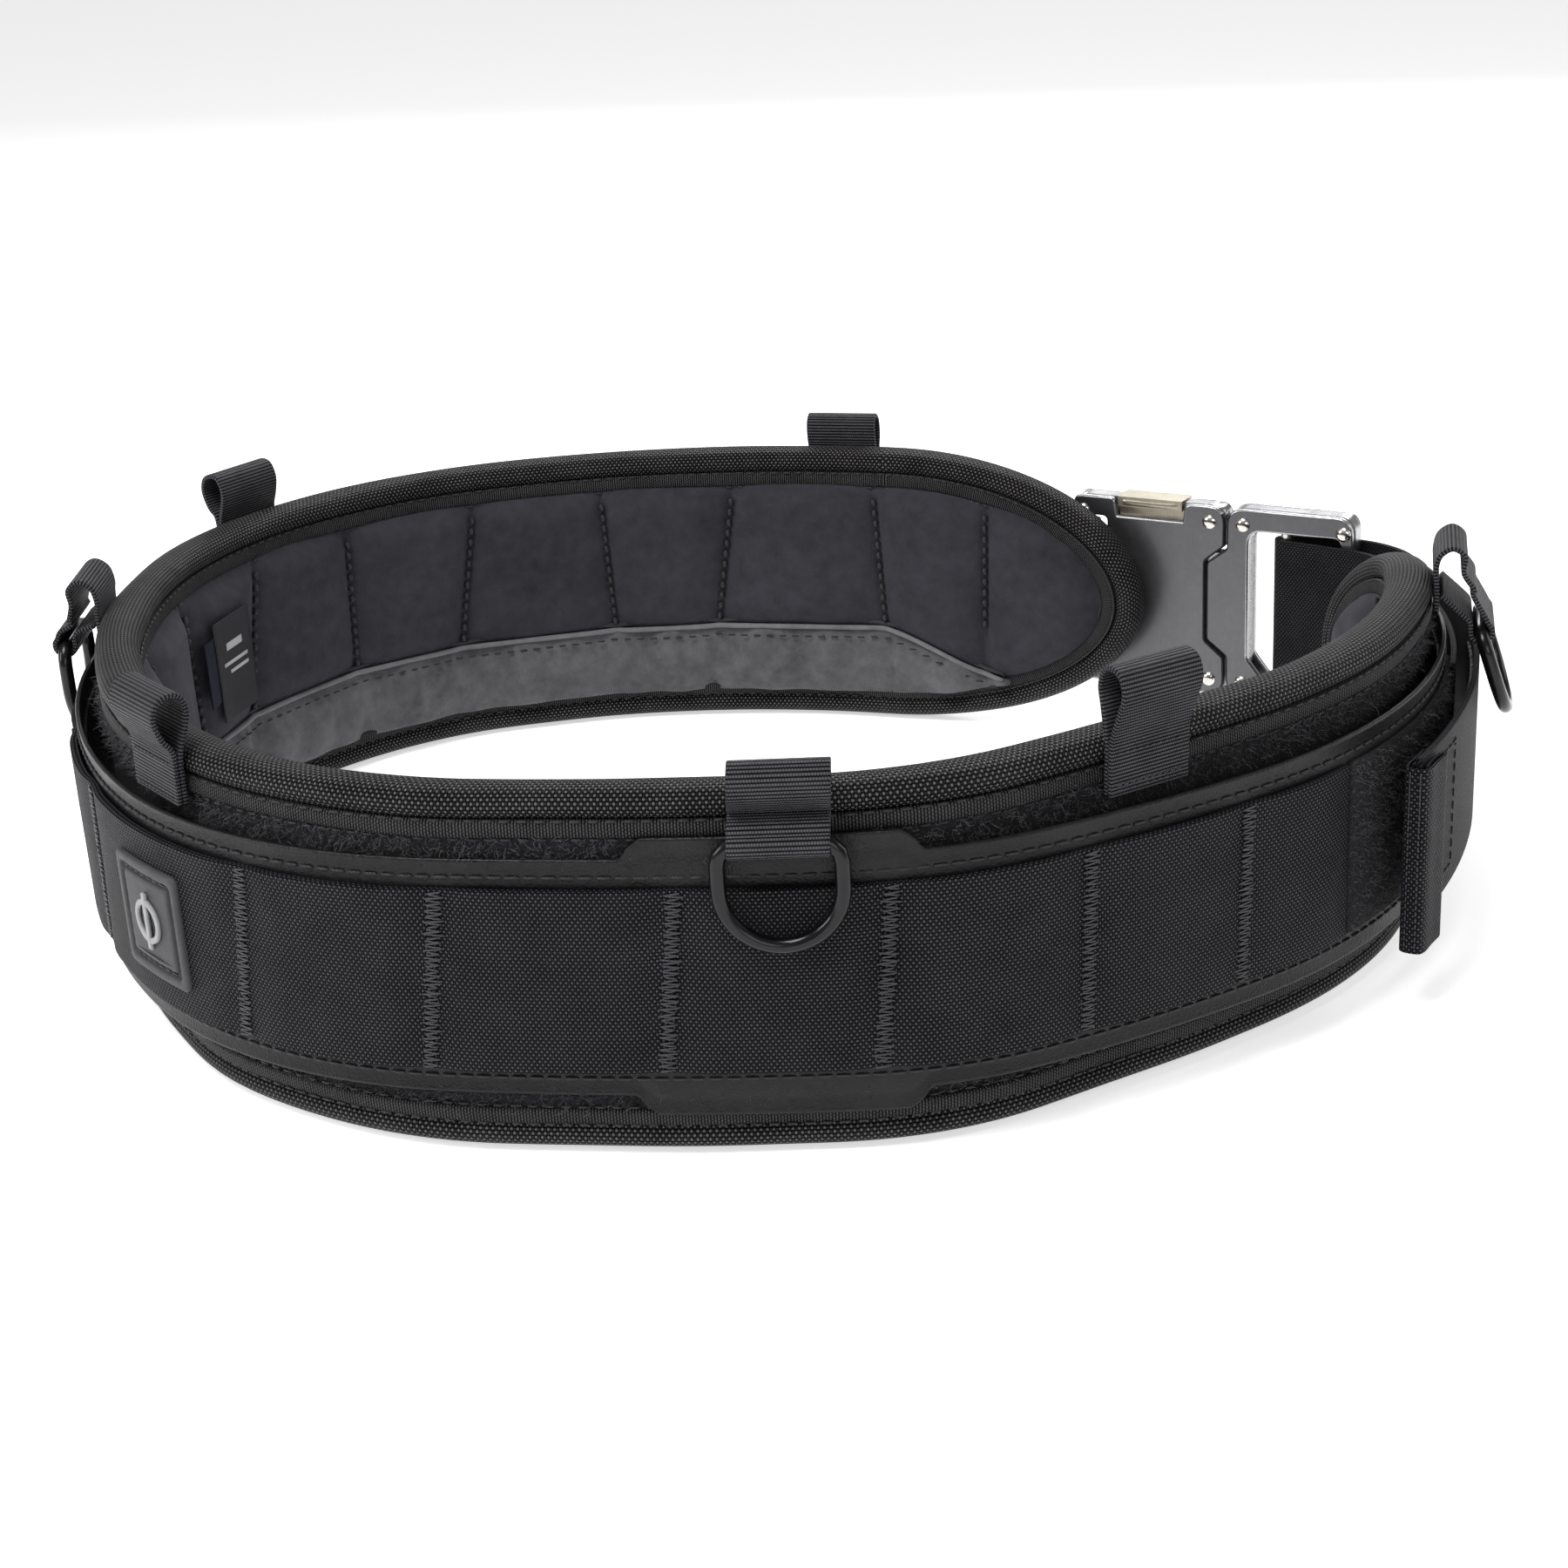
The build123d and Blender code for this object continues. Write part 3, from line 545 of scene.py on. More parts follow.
foam_skin = soft_cloth("foam", (0.02, 0.02, 0.02), (0.04, 0.04, 0.04))


def place(piece, material, replaces=(), body="belt"):
    """Material, body, and the CAD nodes a piece stands for."""
    if material is not None:
        piece.data.materials.clear()
        piece.data.materials.append(material)
    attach(piece, body)
    if replaces:
        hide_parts(*replaces)
    return piece


# ---- sleeve -----------------------------------------------------------------------------------------
def sleeve_half_height(s, inset):
    """Half of the sleeve's height at a station, drawn in from its rounded outline."""
    near = np.minimum(s, pad.length - s)
    t = np.clip((TAPER - near) / (TAPER - inset), 0, 1)
    return (HEIGHT / 2 - inset) * np.sqrt(np.clip(1 - t * t, 0, 1))


def outline(step):
    """The sleeve's edge as (station, height, inward direction), walked once round."""
    straight = np.arange(TAPER, pad.length - TAPER, step)
    turn = np.linspace(0, math.pi, 96)[1:-1]
    tip_s = pad.length - TAPER + TAPER * np.sin(turn)
    tip_z = HEIGHT / 2 * (1 + np.cos(turn))
    s = np.concatenate([straight, tip_s, straight[::-1], pad.length - tip_s])
    z = np.concatenate([np.full(len(straight), HEIGHT), tip_z, np.zeros(len(straight)), HEIGHT - tip_z])
    ds = np.roll(s, -1) - np.roll(s, 1)
    dz = np.roll(z, -1) - np.roll(z, 1)
    size = np.hypot(ds, dz)
    return s, z, dz / size, -ds / size


def sweep_edge(name, loop, wobble=0.25):
    """Carries a closed (offset, depth) loop round the sleeve's edge."""
    step = 2.2
    s, z, ns, nz = outline(step)
    depth = loop[:, 1][None, :]
    length = np.concatenate([[0], np.cumsum(np.hypot(np.diff(s), np.diff(z)))])
    sway = wobble * (np.sin(length / 17.0) + 0.6 * np.sin(length / 7.3 + 1.0))[:, None]
    rise = 1 + 0.04 * np.sin(length / 11.0 + 2.0)[:, None]
    off = loop[:, 0][None, :] * rise + sway * 0.35
    points = pad.at(s[:, None] + ns[:, None] * depth, off, z[:, None] + nz[:, None] * depth)
    u = np.append(length, length[-1] + step) * MM
    return tube_mesh(name, points, u, run_length(loop) * MM, close_n=True)


def binding():
    """The padded roll with a flat flange of tape down each face."""
    roll = [(6.8 * math.cos(a), 4.5 - 4.5 * math.sin(a)) for a in np.radians(np.linspace(222, -42, 34))]
    tuck = [(-4.9, 8.3), (-4.8, 9.6), (4.8, 9.6), (4.9, 8.3)]
    return sweep_edge("edge_binding", np.array(roll + tuck[::-1]))


def flange(side):
    """Flat ribbed part of the binding on one face, its edge rolled under."""
    outer = [(5.3, 7.7), (6.1, 8.2), (6.55, 8.9), (6.6, 10.2), (6.7, FLANGE - 0.7), (6.35, FLANGE),
             (5.6, FLANGE + 0.2)]
    inner = [(4.75, FLANGE), (4.75, 7.9)]
    loop = np.array([(side * x, d) for x, d in outer + inner])
    return sweep_edge("binding_flange", loop, wobble=0.4)


def binding_seam():
    """Stitches in the groove under the roll and along the flange, on both faces."""
    s, z, ns, nz = outline(4.4)
    groups = []
    lower = FLANGE + 0.7
    for depth, reach, side in ((8.1, 6.1, 1), (8.1, 6.1, -1), (lower, 5.9, 1), (lower, 6.0, -1)):
        mid_s = s + ns * depth
        mid_z = z + nz * depth
        a = pad.at(mid_s - nz * 1.3, reach * side, mid_z + ns * 1.3)
        b = pad.at(mid_s + nz * 1.3, reach * side, mid_z - ns * 1.3)
        groups.append(threads("seam", a, b, pad.out(mid_s) * side, 0.42 * MM, 0.15 * MM))
    return join("binding_seam", groups)


def quilt_station(line, z):
    """Where a quilting line crosses a height."""
    top, bottom = QUILT[line]
    return top + (bottom - top) * (85.0 - z) / 50.0


def pillow(s, z, shape=2.3, power=0.62):
    """0 at the quilting lines, 1 in the middle of a cell, at each point."""
    lines = np.stack([quilt_station(k, z) for k in range(len(QUILT))])
    below = np.where(lines <= s, lines, -1e3).max(0)
    above = np.where(lines > s, lines, 1e4).min(0)
    below = np.where(below < 0, 12.0, below)
    above = np.where(above > 2000, pad.length - 12.0, above)
    t = np.clip((s - below) / np.maximum(above - below, 1.0), 0, 1)
    return (1 - np.abs(2 * t - 1) ** shape) ** power


def cushion_top(s):
    """Height of the lower band's upper edge."""
    near = np.minimum(s, pad.length - s)
    t = np.clip((near - 45.0) / 55.0, 0, 1)
    return 18.0 + (35.2 - 18.0) * t * t * (3 - 2 * t)


def lining():
    """Waist side of the sleeve, puffed between its quilting lines and flat under the lower band."""
    s = np.linspace(9.0, pad.length - 9.0, 820)[:, None]
    t = np.linspace(-1, 1, 46)[None, :]
    half = sleeve_half_height(s, 9.0)
    z = MIDDLE + t * half
    s = np.broadcast_to(s, z.shape)
    edge = np.clip((sleeve_half_height(s, FLANGE) - np.abs(z - MIDDLE)) / 7.0, 0, 1)
    seam = np.clip((z - cushion_top(s) + 1.0) / 9.0, 0, 1)
    soft = np.sqrt(edge) * np.sqrt(seam)
    ripple = 0.25 * np.sin(s / 9.0 + z / 14.0) + 0.2 * np.sin(s / 4.7 - z / 9.0)
    fullness = 6.6 + 0.4 * np.clip((s - 985) / 30, 0, 1)
    off = -5.3 - (fullness * pillow(s, z) + ripple * pillow(s, z)) * soft
    piece = slab_mesh("lining", pad.at(s, off, z), pad.at(s, -4.65, z), s * MM, z * MM)
    return piece


def quilt_seams():
    """Stitches down the quilting lines: real stitching, drawn thick and dark so that it also stands as
    painted shade in the sunk creases.
    """
    groups = []
    for k in range(len(QUILT)):
        z = np.arange(39.0, 86.0, 3.9)
        s = np.array([quilt_station(k, h) for h in z])
        inside = np.abs(z - MIDDLE) < sleeve_half_height(s, FLANGE + 2)
        z, s = z[inside], s[inside]
        if len(z) < 2:
            continue
        lean = (QUILT[k][0] - QUILT[k][1]) / 50.0
        a = pad.at(s - lean * 1.25, -7.4, z - 1.25)
        b = pad.at(s + lean * 1.25, -7.4, z + 1.25)
        groups.append(threads("quilt", a, b, -pad.out(s), 1.0 * MM, 0.2 * MM))
    return join("quilting_stitches", groups)


def pile_panel():
    """Outer side of the sleeve, slightly rough."""
    s = np.linspace(9.0, pad.length - 9.0, 500)[:, None]
    t = np.linspace(-1, 1, 40)[None, :]
    z = MIDDLE + t * sleeve_half_height(s, 9.0)
    s = np.broadcast_to(s, z.shape)
    off = 5.35 + 0.22 * rng.random(z.shape)
    return slab_mesh("pile_panel", pad.at(s, off, z), pad.at(s, 4.65, z), s * MM, z * MM)


def lower_cushion():
    """Soft band along the foot of the waist side, with the quilting's bulges and small folds."""
    s = np.linspace(48.0, pad.length - 48.0, 640)[:, None]
    t = np.linspace(0, 1, 20)[None, :]
    low = MIDDLE - sleeve_half_height(s, FLANGE - 2)
    z = low + t * (cushion_top(s) - low)
    s = np.broadcast_to(s, z.shape)
    swell = np.sin(np.clip(t, 0.02, 1) * math.pi * 0.86 + 0.2) ** 0.6
    fold = np.sin(s / 4.1 + 1.3 * np.sin(s / 29.0)) * np.sin(s / 17.0)
    fold = fold + 0.6 * np.sin(s / 2.9 + z / 6.0) * np.sin(s / 37.0)
    lump = 0.25 + 0.75 * pillow(s, z, 2.0, 0.9) + 0.28 * fold
    off = -5.9 - 5.6 * swell * lump
    piece = slab_mesh("lower_cushion", pad.at(s, off, z), pad.at(s, -5.45, z), s * MM, z * MM)
    return piece


def round_cord(name, radius, off, lift, bulge):
    """A round edge above the band's top that follows the bulges between quilting lines."""
    s = np.arange(50.0, pad.length - 50.0, 2.0)
    angle = np.linspace(0, 2 * math.pi, 9)[:-1]
    z = cushion_top(s)[:, None] + lift + radius * np.sin(angle)[None, :]
    depth = off - bulge * pillow(s, cushion_top(s))[:, None] + radius * np.cos(angle)[None, :]
    return tube_mesh(name, pad.at(s[:, None], depth, z), s * MM, angle * radius * MM)


def cushion_stitches():
    """A running stitch below the piping."""
    s = np.arange(54.0, pad.length - 54.0, 5.0)
    top = cushion_top(s)
    off = -7.9 - 2.9 * pillow(s, top)
    a = pad.at(s - 1.4, off, top - 3.2)
    b = pad.at(s + 1.4, off, top - 3.2)
    return threads("cushion_stitches", a, b, -pad.out(s), 0.4 * MM, 0.1 * MM)


def curls(name, points, normals, reach):
    """Loose pile: one short bent hair from near each point."""
    base = points + rng.normal(0, 0.45 * MM, points.shape)
    lean = rng.normal(0, 0.75, base.shape)
    tip = base + (normals * rng.uniform(0.4, 1.0, (len(base), 1)) + lean * 0.8) * reach * MM
    side = np.cross(tip - base, rng.normal(0, 1, base.shape))
    side /= np.linalg.norm(side, axis=1, keepdims=True)
    bend = rng.uniform(0.2, 0.7, (len(base), 1)) * reach * MM
    return curl_mesh(name, base, tip, side, bend)


def curl_mesh(name, start, end, side, bend):
    """Three-sided tapering hairs, each bowed to one side."""
    t = np.linspace(0, 1, 5)
    rows = []
    for k in t:
        centre = start + (end - start) * k + side * bend * math.sin(k * math.pi)
        up = np.cross(end - start, side)
        up /= np.linalg.norm(up, axis=1, keepdims=True)
        thin = HAIR_RADIUS * MM * (1.0 - 0.35 * k)
        rows.append(np.stack([centre + side * thin, centre - side * 0.5 * thin + up * 0.87 * thin,
                              centre - side * 0.5 * thin - up * 0.87 * thin], 1))
    verts = np.stack(rows, 1)
    size = verts.shape[1] * 3
    unit, _, _ = grid_faces(len(t), 3, False, True)
    unit = unit.tolist()
    ends = [[2, 1, 0], [size - 3, size - 2, size - 1]]
    faces = [[k * size + x for x in f] for k in range(len(start)) for f in unit + ends]
    return mesh_object(name, verts.reshape(-1, 3), faces)


def sleeve_fuzz():
    """Pile loops on the strips that show above and below the belt."""
    s = rng.uniform(14.0, pad.length - 14.0, 15000)
    high = rng.random(len(s)) < 0.6
    z = np.where(high, rng.uniform(80.0, 87.8, len(s)), rng.uniform(12.6, 19.0, len(s)))
    inside = np.abs(z - MIDDLE) < sleeve_half_height(s, FLANGE)
    s, z = s[inside], z[inside]
    return curls("sleeve_pile", pad.at(s, 5.4, z), pad.out(s), 1.9)


def label(name, station, half, low, high, off):
    """A folded label: a thin sheet sewn to the lining."""
    s = np.linspace(station - half, station + half, 16)
    loop = band_profile(low, high, off - 0.45, off, 12, 0.15)
    sag = 0.5 * np.sin((s - station + half) / half * math.pi / 2)[:, None]
    points = pad.at(s[:, None], loop[None, :, 0] - sag, loop[None, :, 1])
    return tube_mesh(name, points, s * MM, run_length(loop) * MM)


def label_bars(name, rows, off):
    """Plain woven bars in place of the label's own words and mark."""
    pieces = []
    for first, last, low, high in rows:
        s = np.linspace(first, last, 6)
        loop = band_profile(low, high, off - 0.12, off, 4, 0.05)
        sag = 0.5 * np.sin((s - LABEL_STATION + 13.5) / 27.0 * math.pi)[:, None]
        points = pad.at(s[:, None], loop[None, :, 0] - sag, loop[None, :, 1])
        pieces.append(tube_mesh("bar", points, s * MM, run_length(loop) * MM))
    return join(name, pieces)


# ---- belt -------------------------------------------------------------------------------------------
def bartack_gap(s, z):
    """Distance along the belt from the nearest bartack."""
    lines = np.stack([b + (t - b) * (z - 25.0) / 50.0 for t, b in BARTACKS + ((WEB_END, WEB_END),)])
    return np.abs(lines - s).min(0)


def webbing_bulge(s, z):
    """The webbing stands proud between bartacks."""
    return 1.25 * (1 - np.exp(-(bartack_gap(s, z) / 7.0) ** 2))


def webbing():
    """The belt's webbing, standing proud between bartacks."""
    def shape(s, off, z):
        outer = off > 1.0
        wave = 0.12 * np.sin(s / 8.0) * np.sin(z / 13.0)
        return np.where(outer, off + webbing_bulge(s, z) + wave, off + webbing_bulge(s, z) * 0.6), z
    return route_band("belt_webbing", belt, 3, WEB_END, 25, 75, 0.1, 1.9, 1.6, 22, shape)


def bartacks():
    """Zigzag stitching down the webbing."""
    starts, ends, normals = [], [], []
    for top, bottom in BARTACKS:
        z = np.arange(25.6, 74.6, 0.78)
        s = bottom + (top - bottom) * (z - 25.0) / 50.0
        reach = 2.0 + 0.4 * rng.normal(0, 1, len(z))
        flip = np.where(np.arange(len(z)) % 2 == 0, 1, -1)
        left = s - reach * flip
        right = s + reach * flip
        shift = rng.normal(0, 0.12, len(z))
        starts.append(belt.at(left, 2.1, z + shift))
        ends.append(belt.at(right, 2.1, z + 0.55 + shift))
        normals.append(belt.out(s))
    return threads("bartack_threads", np.concatenate(starts), np.concatenate(ends), np.concatenate(normals),
                   0.3 * MM, 0.2 * MM)


def laminate_edge(s, side):
    """Height of the laminate's edge, with its tall tab; side is 1 for the top and -1 for the bottom."""
    distance = np.abs(s - TAB_STATION) - TAB_HALF
    t = np.clip(1 - distance / 7.0, 0, 1)
    rise = np.where(t < 0.5, 4 * t ** 3, t)
    return MIDDLE + side * (32.5 + 5.6 * rise)


def laminate():
    """Stiff strip under the webbing, with a raised lip and a pressed line along each edge."""
    tab = np.arange(700, 782, 0.7)
    s = np.unique(np.concatenate([np.arange(0.0, belt.length, 2.5), tab, [belt.length]]))[:, None]
    lows = laminate_edge(s, -1)
    highs = laminate_edge(s, 1)
    inner, outer = -1.2, 0.0
    near = [(0.0, -0.45), (0.12, 0.0), (0.5, 0.28), (1.1, 0.2), (1.7, 0.0), (3.4, 0.0), (4.3, -0.25),
            (5.2, 0.0)]
    front_z = [lows + d for d, _ in near] + [lows + (highs - lows) * k for k in np.linspace(0.14, 0.86, 9)]
    front_z += [highs - d for d, _ in near[::-1]]
    front_o = [outer + o for _, o in near] + [outer] * 9 + [outer + o for _, o in near[::-1]]
    back_z = [highs - 0.1, highs - 0.6, lows + 0.6, lows + 0.1]
    back_o = [inner + 0.3, inner, inner, inner + 0.3]
    z = np.concatenate(front_z + back_z, 1)
    off = np.broadcast_to(np.array(front_o + back_o)[None, :], z.shape)
    v = run_length(np.stack([off[0], z[0]], -1)) * MM
    return tube_mesh("belt_laminate", belt.at(np.broadcast_to(s, z.shape), off, z), s[:, 0] * MM, v)


def laminate_stitches():
    """A running stitch along the top and the bottom margin."""
    half = 3.7 / 2
    rows = []
    for shift, z in ((0.0, 77.6), (1.3, 22.4)):
        s = np.arange(5.0, belt.length - 4, 4.6) + shift
        rows.append(threads("edge", belt.at(s - half, 0.05, z), belt.at(s + half, 0.05, z), belt.out(s),
                            0.5 * MM, 0.12 * MM))
    return join("laminate_stitches", rows)


def badge():
    """Rubber badge: raised border, sewn channel and a field with a plain ring and bar."""
    half = BADGE_HALF
    rings = [(half, 2.3), (half, 4.0), (half - 0.5, 4.5), (half - 2.3, 4.5), (half - 2.8, 4.1),
             (half - 2.9, 3.3), (half - 4.4, 3.3), (half - 4.5, 3.9), (half - 5.0, 4.3), (half - 6.0, 4.35)]
    corner = np.linspace(0, math.pi / 2, 6)
    loops = []
    for reach, off in rings:
        radius = max(0.6, 2.2 - (half - reach) * 0.25)
        flat = reach - radius
        loop = []
        for k, (sx, sz) in enumerate(((1, 1), (-1, 1), (-1, -1), (1, -1))):
            for a in corner + k * math.pi / 2:
                loop.append((sx * flat + radius * math.cos(a), sz * flat + radius * math.sin(a)))
        loop = np.array(loop)
        # more points along the straight sides, so that the badge can follow the belt
        fine = []
        for p, q in zip(loop, np.roll(loop, -1, 0)):
            steps = max(1, int(np.hypot(*(q - p)) / 2.5))
            fine += [p + (q - p) * k / steps for k in range(steps)]
        loops.append((np.array(fine), off))
    count = min(len(loop) for loop, _ in loops)
    rows = []
    for loop, off in loops:
        pick = np.linspace(0, len(loop), count, endpoint=False)
        low = pick.astype(int) % len(loop)
        mix = (pick - pick.astype(int))[:, None]
        points = loop[low] * (1 - mix) + loop[(low + 1) % len(loop)] * mix
        rows.append(belt.at(BADGE_STATION + points[:, 0] * 0.98, off, BADGE_Z + points[:, 1]))
    points = np.stack(rows)
    v = np.linspace(0, 0.12, count + 1)
    piece = tube_mesh("badge", points, np.arange(len(rows)) * MM, v)
    # The channel's faces, rows 4 to 6, take the second material, the dark thread one, so the channel is
    # darker than the rest of the badge.
    for k, polygon in enumerate(piece.data.polygons):
        polygon.material_index = 1 if k // count in (4, 5, 6) else 0
    return piece


def badge_stitches():
    starts, ends = [], []
    reach = BADGE_HALF - 3.65
    for k in np.arange(-reach + 1.6, reach - 1.0, 3.4):
        for fixed in (-reach, reach):
            starts += [(k - 1.1, fixed), (fixed, k - 1.1)]
            ends += [(k + 1.1, fixed), (fixed, k + 1.1)]
    starts, ends = np.array(starts), np.array(ends)
    a = belt.at(BADGE_STATION + starts[:, 0], 3.5, BADGE_Z + starts[:, 1])
    b = belt.at(BADGE_STATION + ends[:, 0], 3.5, BADGE_Z + ends[:, 1])
    return threads("badge_stitches", a, b, belt.out(np.full(len(a), BADGE_STATION)), 0.3 * MM, 0.1 * MM)


def badge_emblem():
    """Raised ring with a bar through it."""
    angle = np.linspace(0, 2 * math.pi, 49)[:-1]
    profile = [(4.6, 4.2), (4.7, 5.0), (4.95, 5.15), (6.05, 5.15), (6.3, 5.0), (6.4, 4.2)]
    rows = np.stack([belt.at(BADGE_STATION + r * np.cos(angle), off, BADGE_Z + r * np.sin(angle))
                     for r, off in profile], 1)
    ring = tube_mesh("emblem_ring", rows, angle * 5.5 * MM, np.arange(len(profile)) * MM, close_n=True)
    loop = band_profile(BADGE_Z - 8.2, BADGE_Z + 8.2, 4.2, 5.15, 6, 0.2)
    s = BADGE_STATION + np.linspace(-0.85, 0.85, 4)[:, None]
    bar = tube_mesh("emblem_bar", belt.at(s, loop[None, :, 0], loop[None, :, 1]), s[:, 0] * MM,
                    run_length(loop) * MM)
    return join("badge_emblem_raised", [ring, bar])


def loop_patch():
    def shape(s, off, z):
        return off + np.where(off > 0.6, 0.25 * rng.random(off.shape), 0), z
    return route_band("loop_patch", belt, WEB_END + 1.5, PATCH_END, 25, 75, 0.1, 1.1, 1.5, 30, shape)


def patch_fuzz():
    s = rng.uniform(WEB_END + 2, PATCH_END - 1, 3600)
    z = rng.uniform(25.5, 74.5, len(s))
    return curls("patch_pile", belt.at(s, 1.1, z), belt.out(s), 1.5)


# ---- loops and rings --------------------------------------------------------------------------------
def smooth_path(points, count=70):
    """Even points along a Catmull-Rom curve through a few given ones."""
    p = np.array(points, float)
    p = np.concatenate([[2 * p[0] - p[1]], p, [2 * p[-1] - p[-2]]])
    fine = []
    for a, b, c, d in zip(p, p[1:], p[2:], p[3:]):
        for t in np.linspace(0, 1, 16, endpoint=False):
            fine.append(0.5 * ((2 * b) + (c - a) * t + (2 * a - 5 * b + 4 * c - d) * t * t
                               + (3 * b - a - 3 * c + d) * t ** 3))
    fine.append(p[-2])
    fine = np.array(fine)
    run = np.concatenate([[0], np.cumsum(np.hypot(*np.diff(fine, axis=0).T))])
    want = np.linspace(0, run[-1], count)
    return np.stack([np.interp(want, run, fine[:, k]) for k in (0, 1)], -1), want


def left_of(line, closed=False):
    """Unit vectors to the left of a line in a plane."""
    direction = np.roll(line, -1, 0) - np.roll(line, 1, 0) if closed else np.gradient(line, axis=0)
    direction /= np.linalg.norm(direction, axis=1, keepdims=True)
    return np.stack([-direction[:, 1], direction[:, 0]], -1)


def sleeve_axes(station):
    """The sleeve's plan point at a station, and its directions along and outwards."""
    x, y, turn = pad.plan(float(station))
    along = np.array([math.cos(turn), math.sin(turn), 0.0])
    out = np.array([math.sin(turn), -math.cos(turn), 0.0])
    return np.array([x, y, 0.0]), along, out


def ribbon(name, station, path, skew, count=80):
    """Loop webbing bent along a path drawn in (offset, height) across the sleeve."""
    line, run = smooth_path(path, count)
    normal = left_of(line)
    half, t = LOOP_WIDTH / 2, LOOP_THICK / 2
    edge = 0.4
    across = [(-half, -t + edge), (-half, t - edge), (-half + 0.12, t - 0.12), (-half + edge, t)]
    across += [(x, t) for x in np.linspace(-half + 3, half - 3, 5)]
    across += [(half - edge, t), (half - 0.12, t - 0.12), (half, t - edge), (half, -t + edge)]
    across += [(half - 0.12, -t + 0.12), (half - edge, -t)]
    across += [(x, -t) for x in np.linspace(half - 3, -half + 3, 5)]
    across += [(-half + edge, -t), (-half + 0.12, -t + 0.12)]
    across = np.array(across)
    origin, along, out = sleeve_axes(station)
    off = line[:, None, 0] + normal[:, None, 0] * across[None, :, 1]
    z = line[:, None, 1] + normal[:, None, 1] * across[None, :, 1]
    side = across[None, :, 0] + skew * (z - 88.0) * 0.01
    points = origin + off[..., None] * out + z[..., None] * UP + side[..., None] * along
    return tube_mesh(name, points * MM, run * MM, run_length(across) * MM)


def tool_loop(name, station, top):
    """Tall loop: both ends sewn to the binding, with an open eye above the sleeve."""
    c = top - 5.6
    path = [(8.15, 84.8), (8.15, 92.0), (8.0, 98.5), (6.0, c - 5.5), (4.9, c - 0.5), (6.3, c + 3.8),
            (9.4, top - 0.8), (12.9, c + 3.2), (14.3, c - 1.2), (12.6, c - 6.6), (10.0, 99.5), (9.75, 92.0),
            (9.75, 84.8)]
    return ribbon(name, station, path, skew=4.0)


def sewn_rows(name, station, off, heights):
    """Rows of small stitches across a loop's sewn foot."""
    origin, along, out = sleeve_axes(station)
    reach = LOOP_WIDTH / 2 - 2.0
    starts, ends = [], []
    for z in heights:
        for k in np.arange(-reach, reach, 2.1):
            base = origin + out * off + z * UP + along * k
            starts.append(base * MM)
            ends.append((base + along * 1.5 + 0.15 * UP) * MM)
    return threads(name, starts, ends, np.tile(out, (len(starts), 1)), 0.24 * MM, 0.1 * MM)


def ring_loop(name, station, bar_z, reach):
    """Short loop: a small eye above the sleeve and a lower one round the ring's bar."""
    r = EYE_RADIUS
    neck = max(10.6, reach - 3.4)
    path = [(8.0, 90.0), (8.0, 95.0), (7.9, 98.6), (7.5, 102.0), (8.6, 106.4), (12.2, 108.6), (15.6, 106.2),
            (15.4, 101.4), (neck + 0.9, 96.6), (neck + 0.6, 95.0), (reach + 0.9, bar_z + 4.4)]
    path += [(reach + r * math.cos(a), bar_z + r * math.sin(a))
             for a in np.radians((50, 15, -25, -65, -105, -145, -185))]
    path += [(reach - r - 0.1, bar_z + 2.2), (max(9.6, reach - 4.6), bar_z + 4.2), (9.5, 94.4)]
    return ribbon(name, station, path, count=120, skew=5.0)


def d_ring(name, station, bar_z, reach, lean):
    """Round wire bent into a D, with its straight bar at the top."""
    half, straight, corner = RING_HALF, RING_STRAIGHT, RING_CORNER
    path = [(-half + corner, 0.0), (0.0, 0.0), (half - corner, 0.0)]
    path += [(half - corner + corner * math.sin(a), -corner + corner * math.cos(a))
             for a in np.radians((30, 60, 90))]
    path += [(half, -straight * k) for k in (0.5, 0.75, 1.0)]
    path += [(half * math.cos(a), -straight - half * math.sin(a))
             for a in np.radians(np.arange(7.5, 180, 7.5))]
    path += [(-half, -straight * k) for k in (1.0, 0.75, 0.5)]
    path += [(-half + corner - corner * math.cos(a), -corner + corner * math.sin(a))
             for a in np.radians((0, 30, 60))]
    path = np.array(path)
    normal = left_of(path, closed=True)
    angle = np.linspace(0, 2 * math.pi, 21)[:-1]
    local_x = path[:, None, 0] + normal[:, None, 0] * RING_WIRE * np.cos(angle)[None, :]
    local_y = path[:, None, 1] + normal[:, None, 1] * RING_WIRE * np.cos(angle)[None, :]
    local_z = np.broadcast_to(RING_WIRE * np.sin(angle)[None, :], local_x.shape)
    c, s = math.cos(math.radians(lean)), math.sin(math.radians(lean))
    down_y = local_y * c + local_z * s
    down_z = -local_y * s + local_z * c
    origin, along, out = sleeve_axes(station)
    points = origin + bar_z * UP + reach * out + local_x[..., None] * along + down_z[..., None] * out
    points = points + down_y[..., None] * UP
    return tube_mesh(name, points * MM, np.arange(len(path)) * MM, angle * RING_WIRE * MM, close_n=True)


# ---- buckle -----------------------------------------------------------------------------------------
def rounded(points, radii, steps=6):
    """A closed outline through corner points, each rounded by its radius."""
    points = [np.array(p, float) for p in points]
    result = []
    for k, p in enumerate(points):
        a, b = points[k - 1] - p, points[(k + 1) % len(points)] - p
        radius = radii[k] if hasattr(radii, "__len__") else radii
        ua, ub = a / np.linalg.norm(a), b / np.linalg.norm(b)
        half = math.acos(max(-1, min(1, float(ua @ ub)))) / 2
        if radius <= 0 or half > 1.56:
            result.append(tuple(p))
            continue
        reach = min(radius / math.tan(half), 0.48 * np.linalg.norm(a), 0.48 * np.linalg.norm(b))
        start, end = p + ua * reach, p + ub * reach
        for t in np.linspace(0, 1, steps):
            result.append(tuple((1 - t) ** 2 * start + 2 * t * (1 - t) * p + t * t * end))
    return result


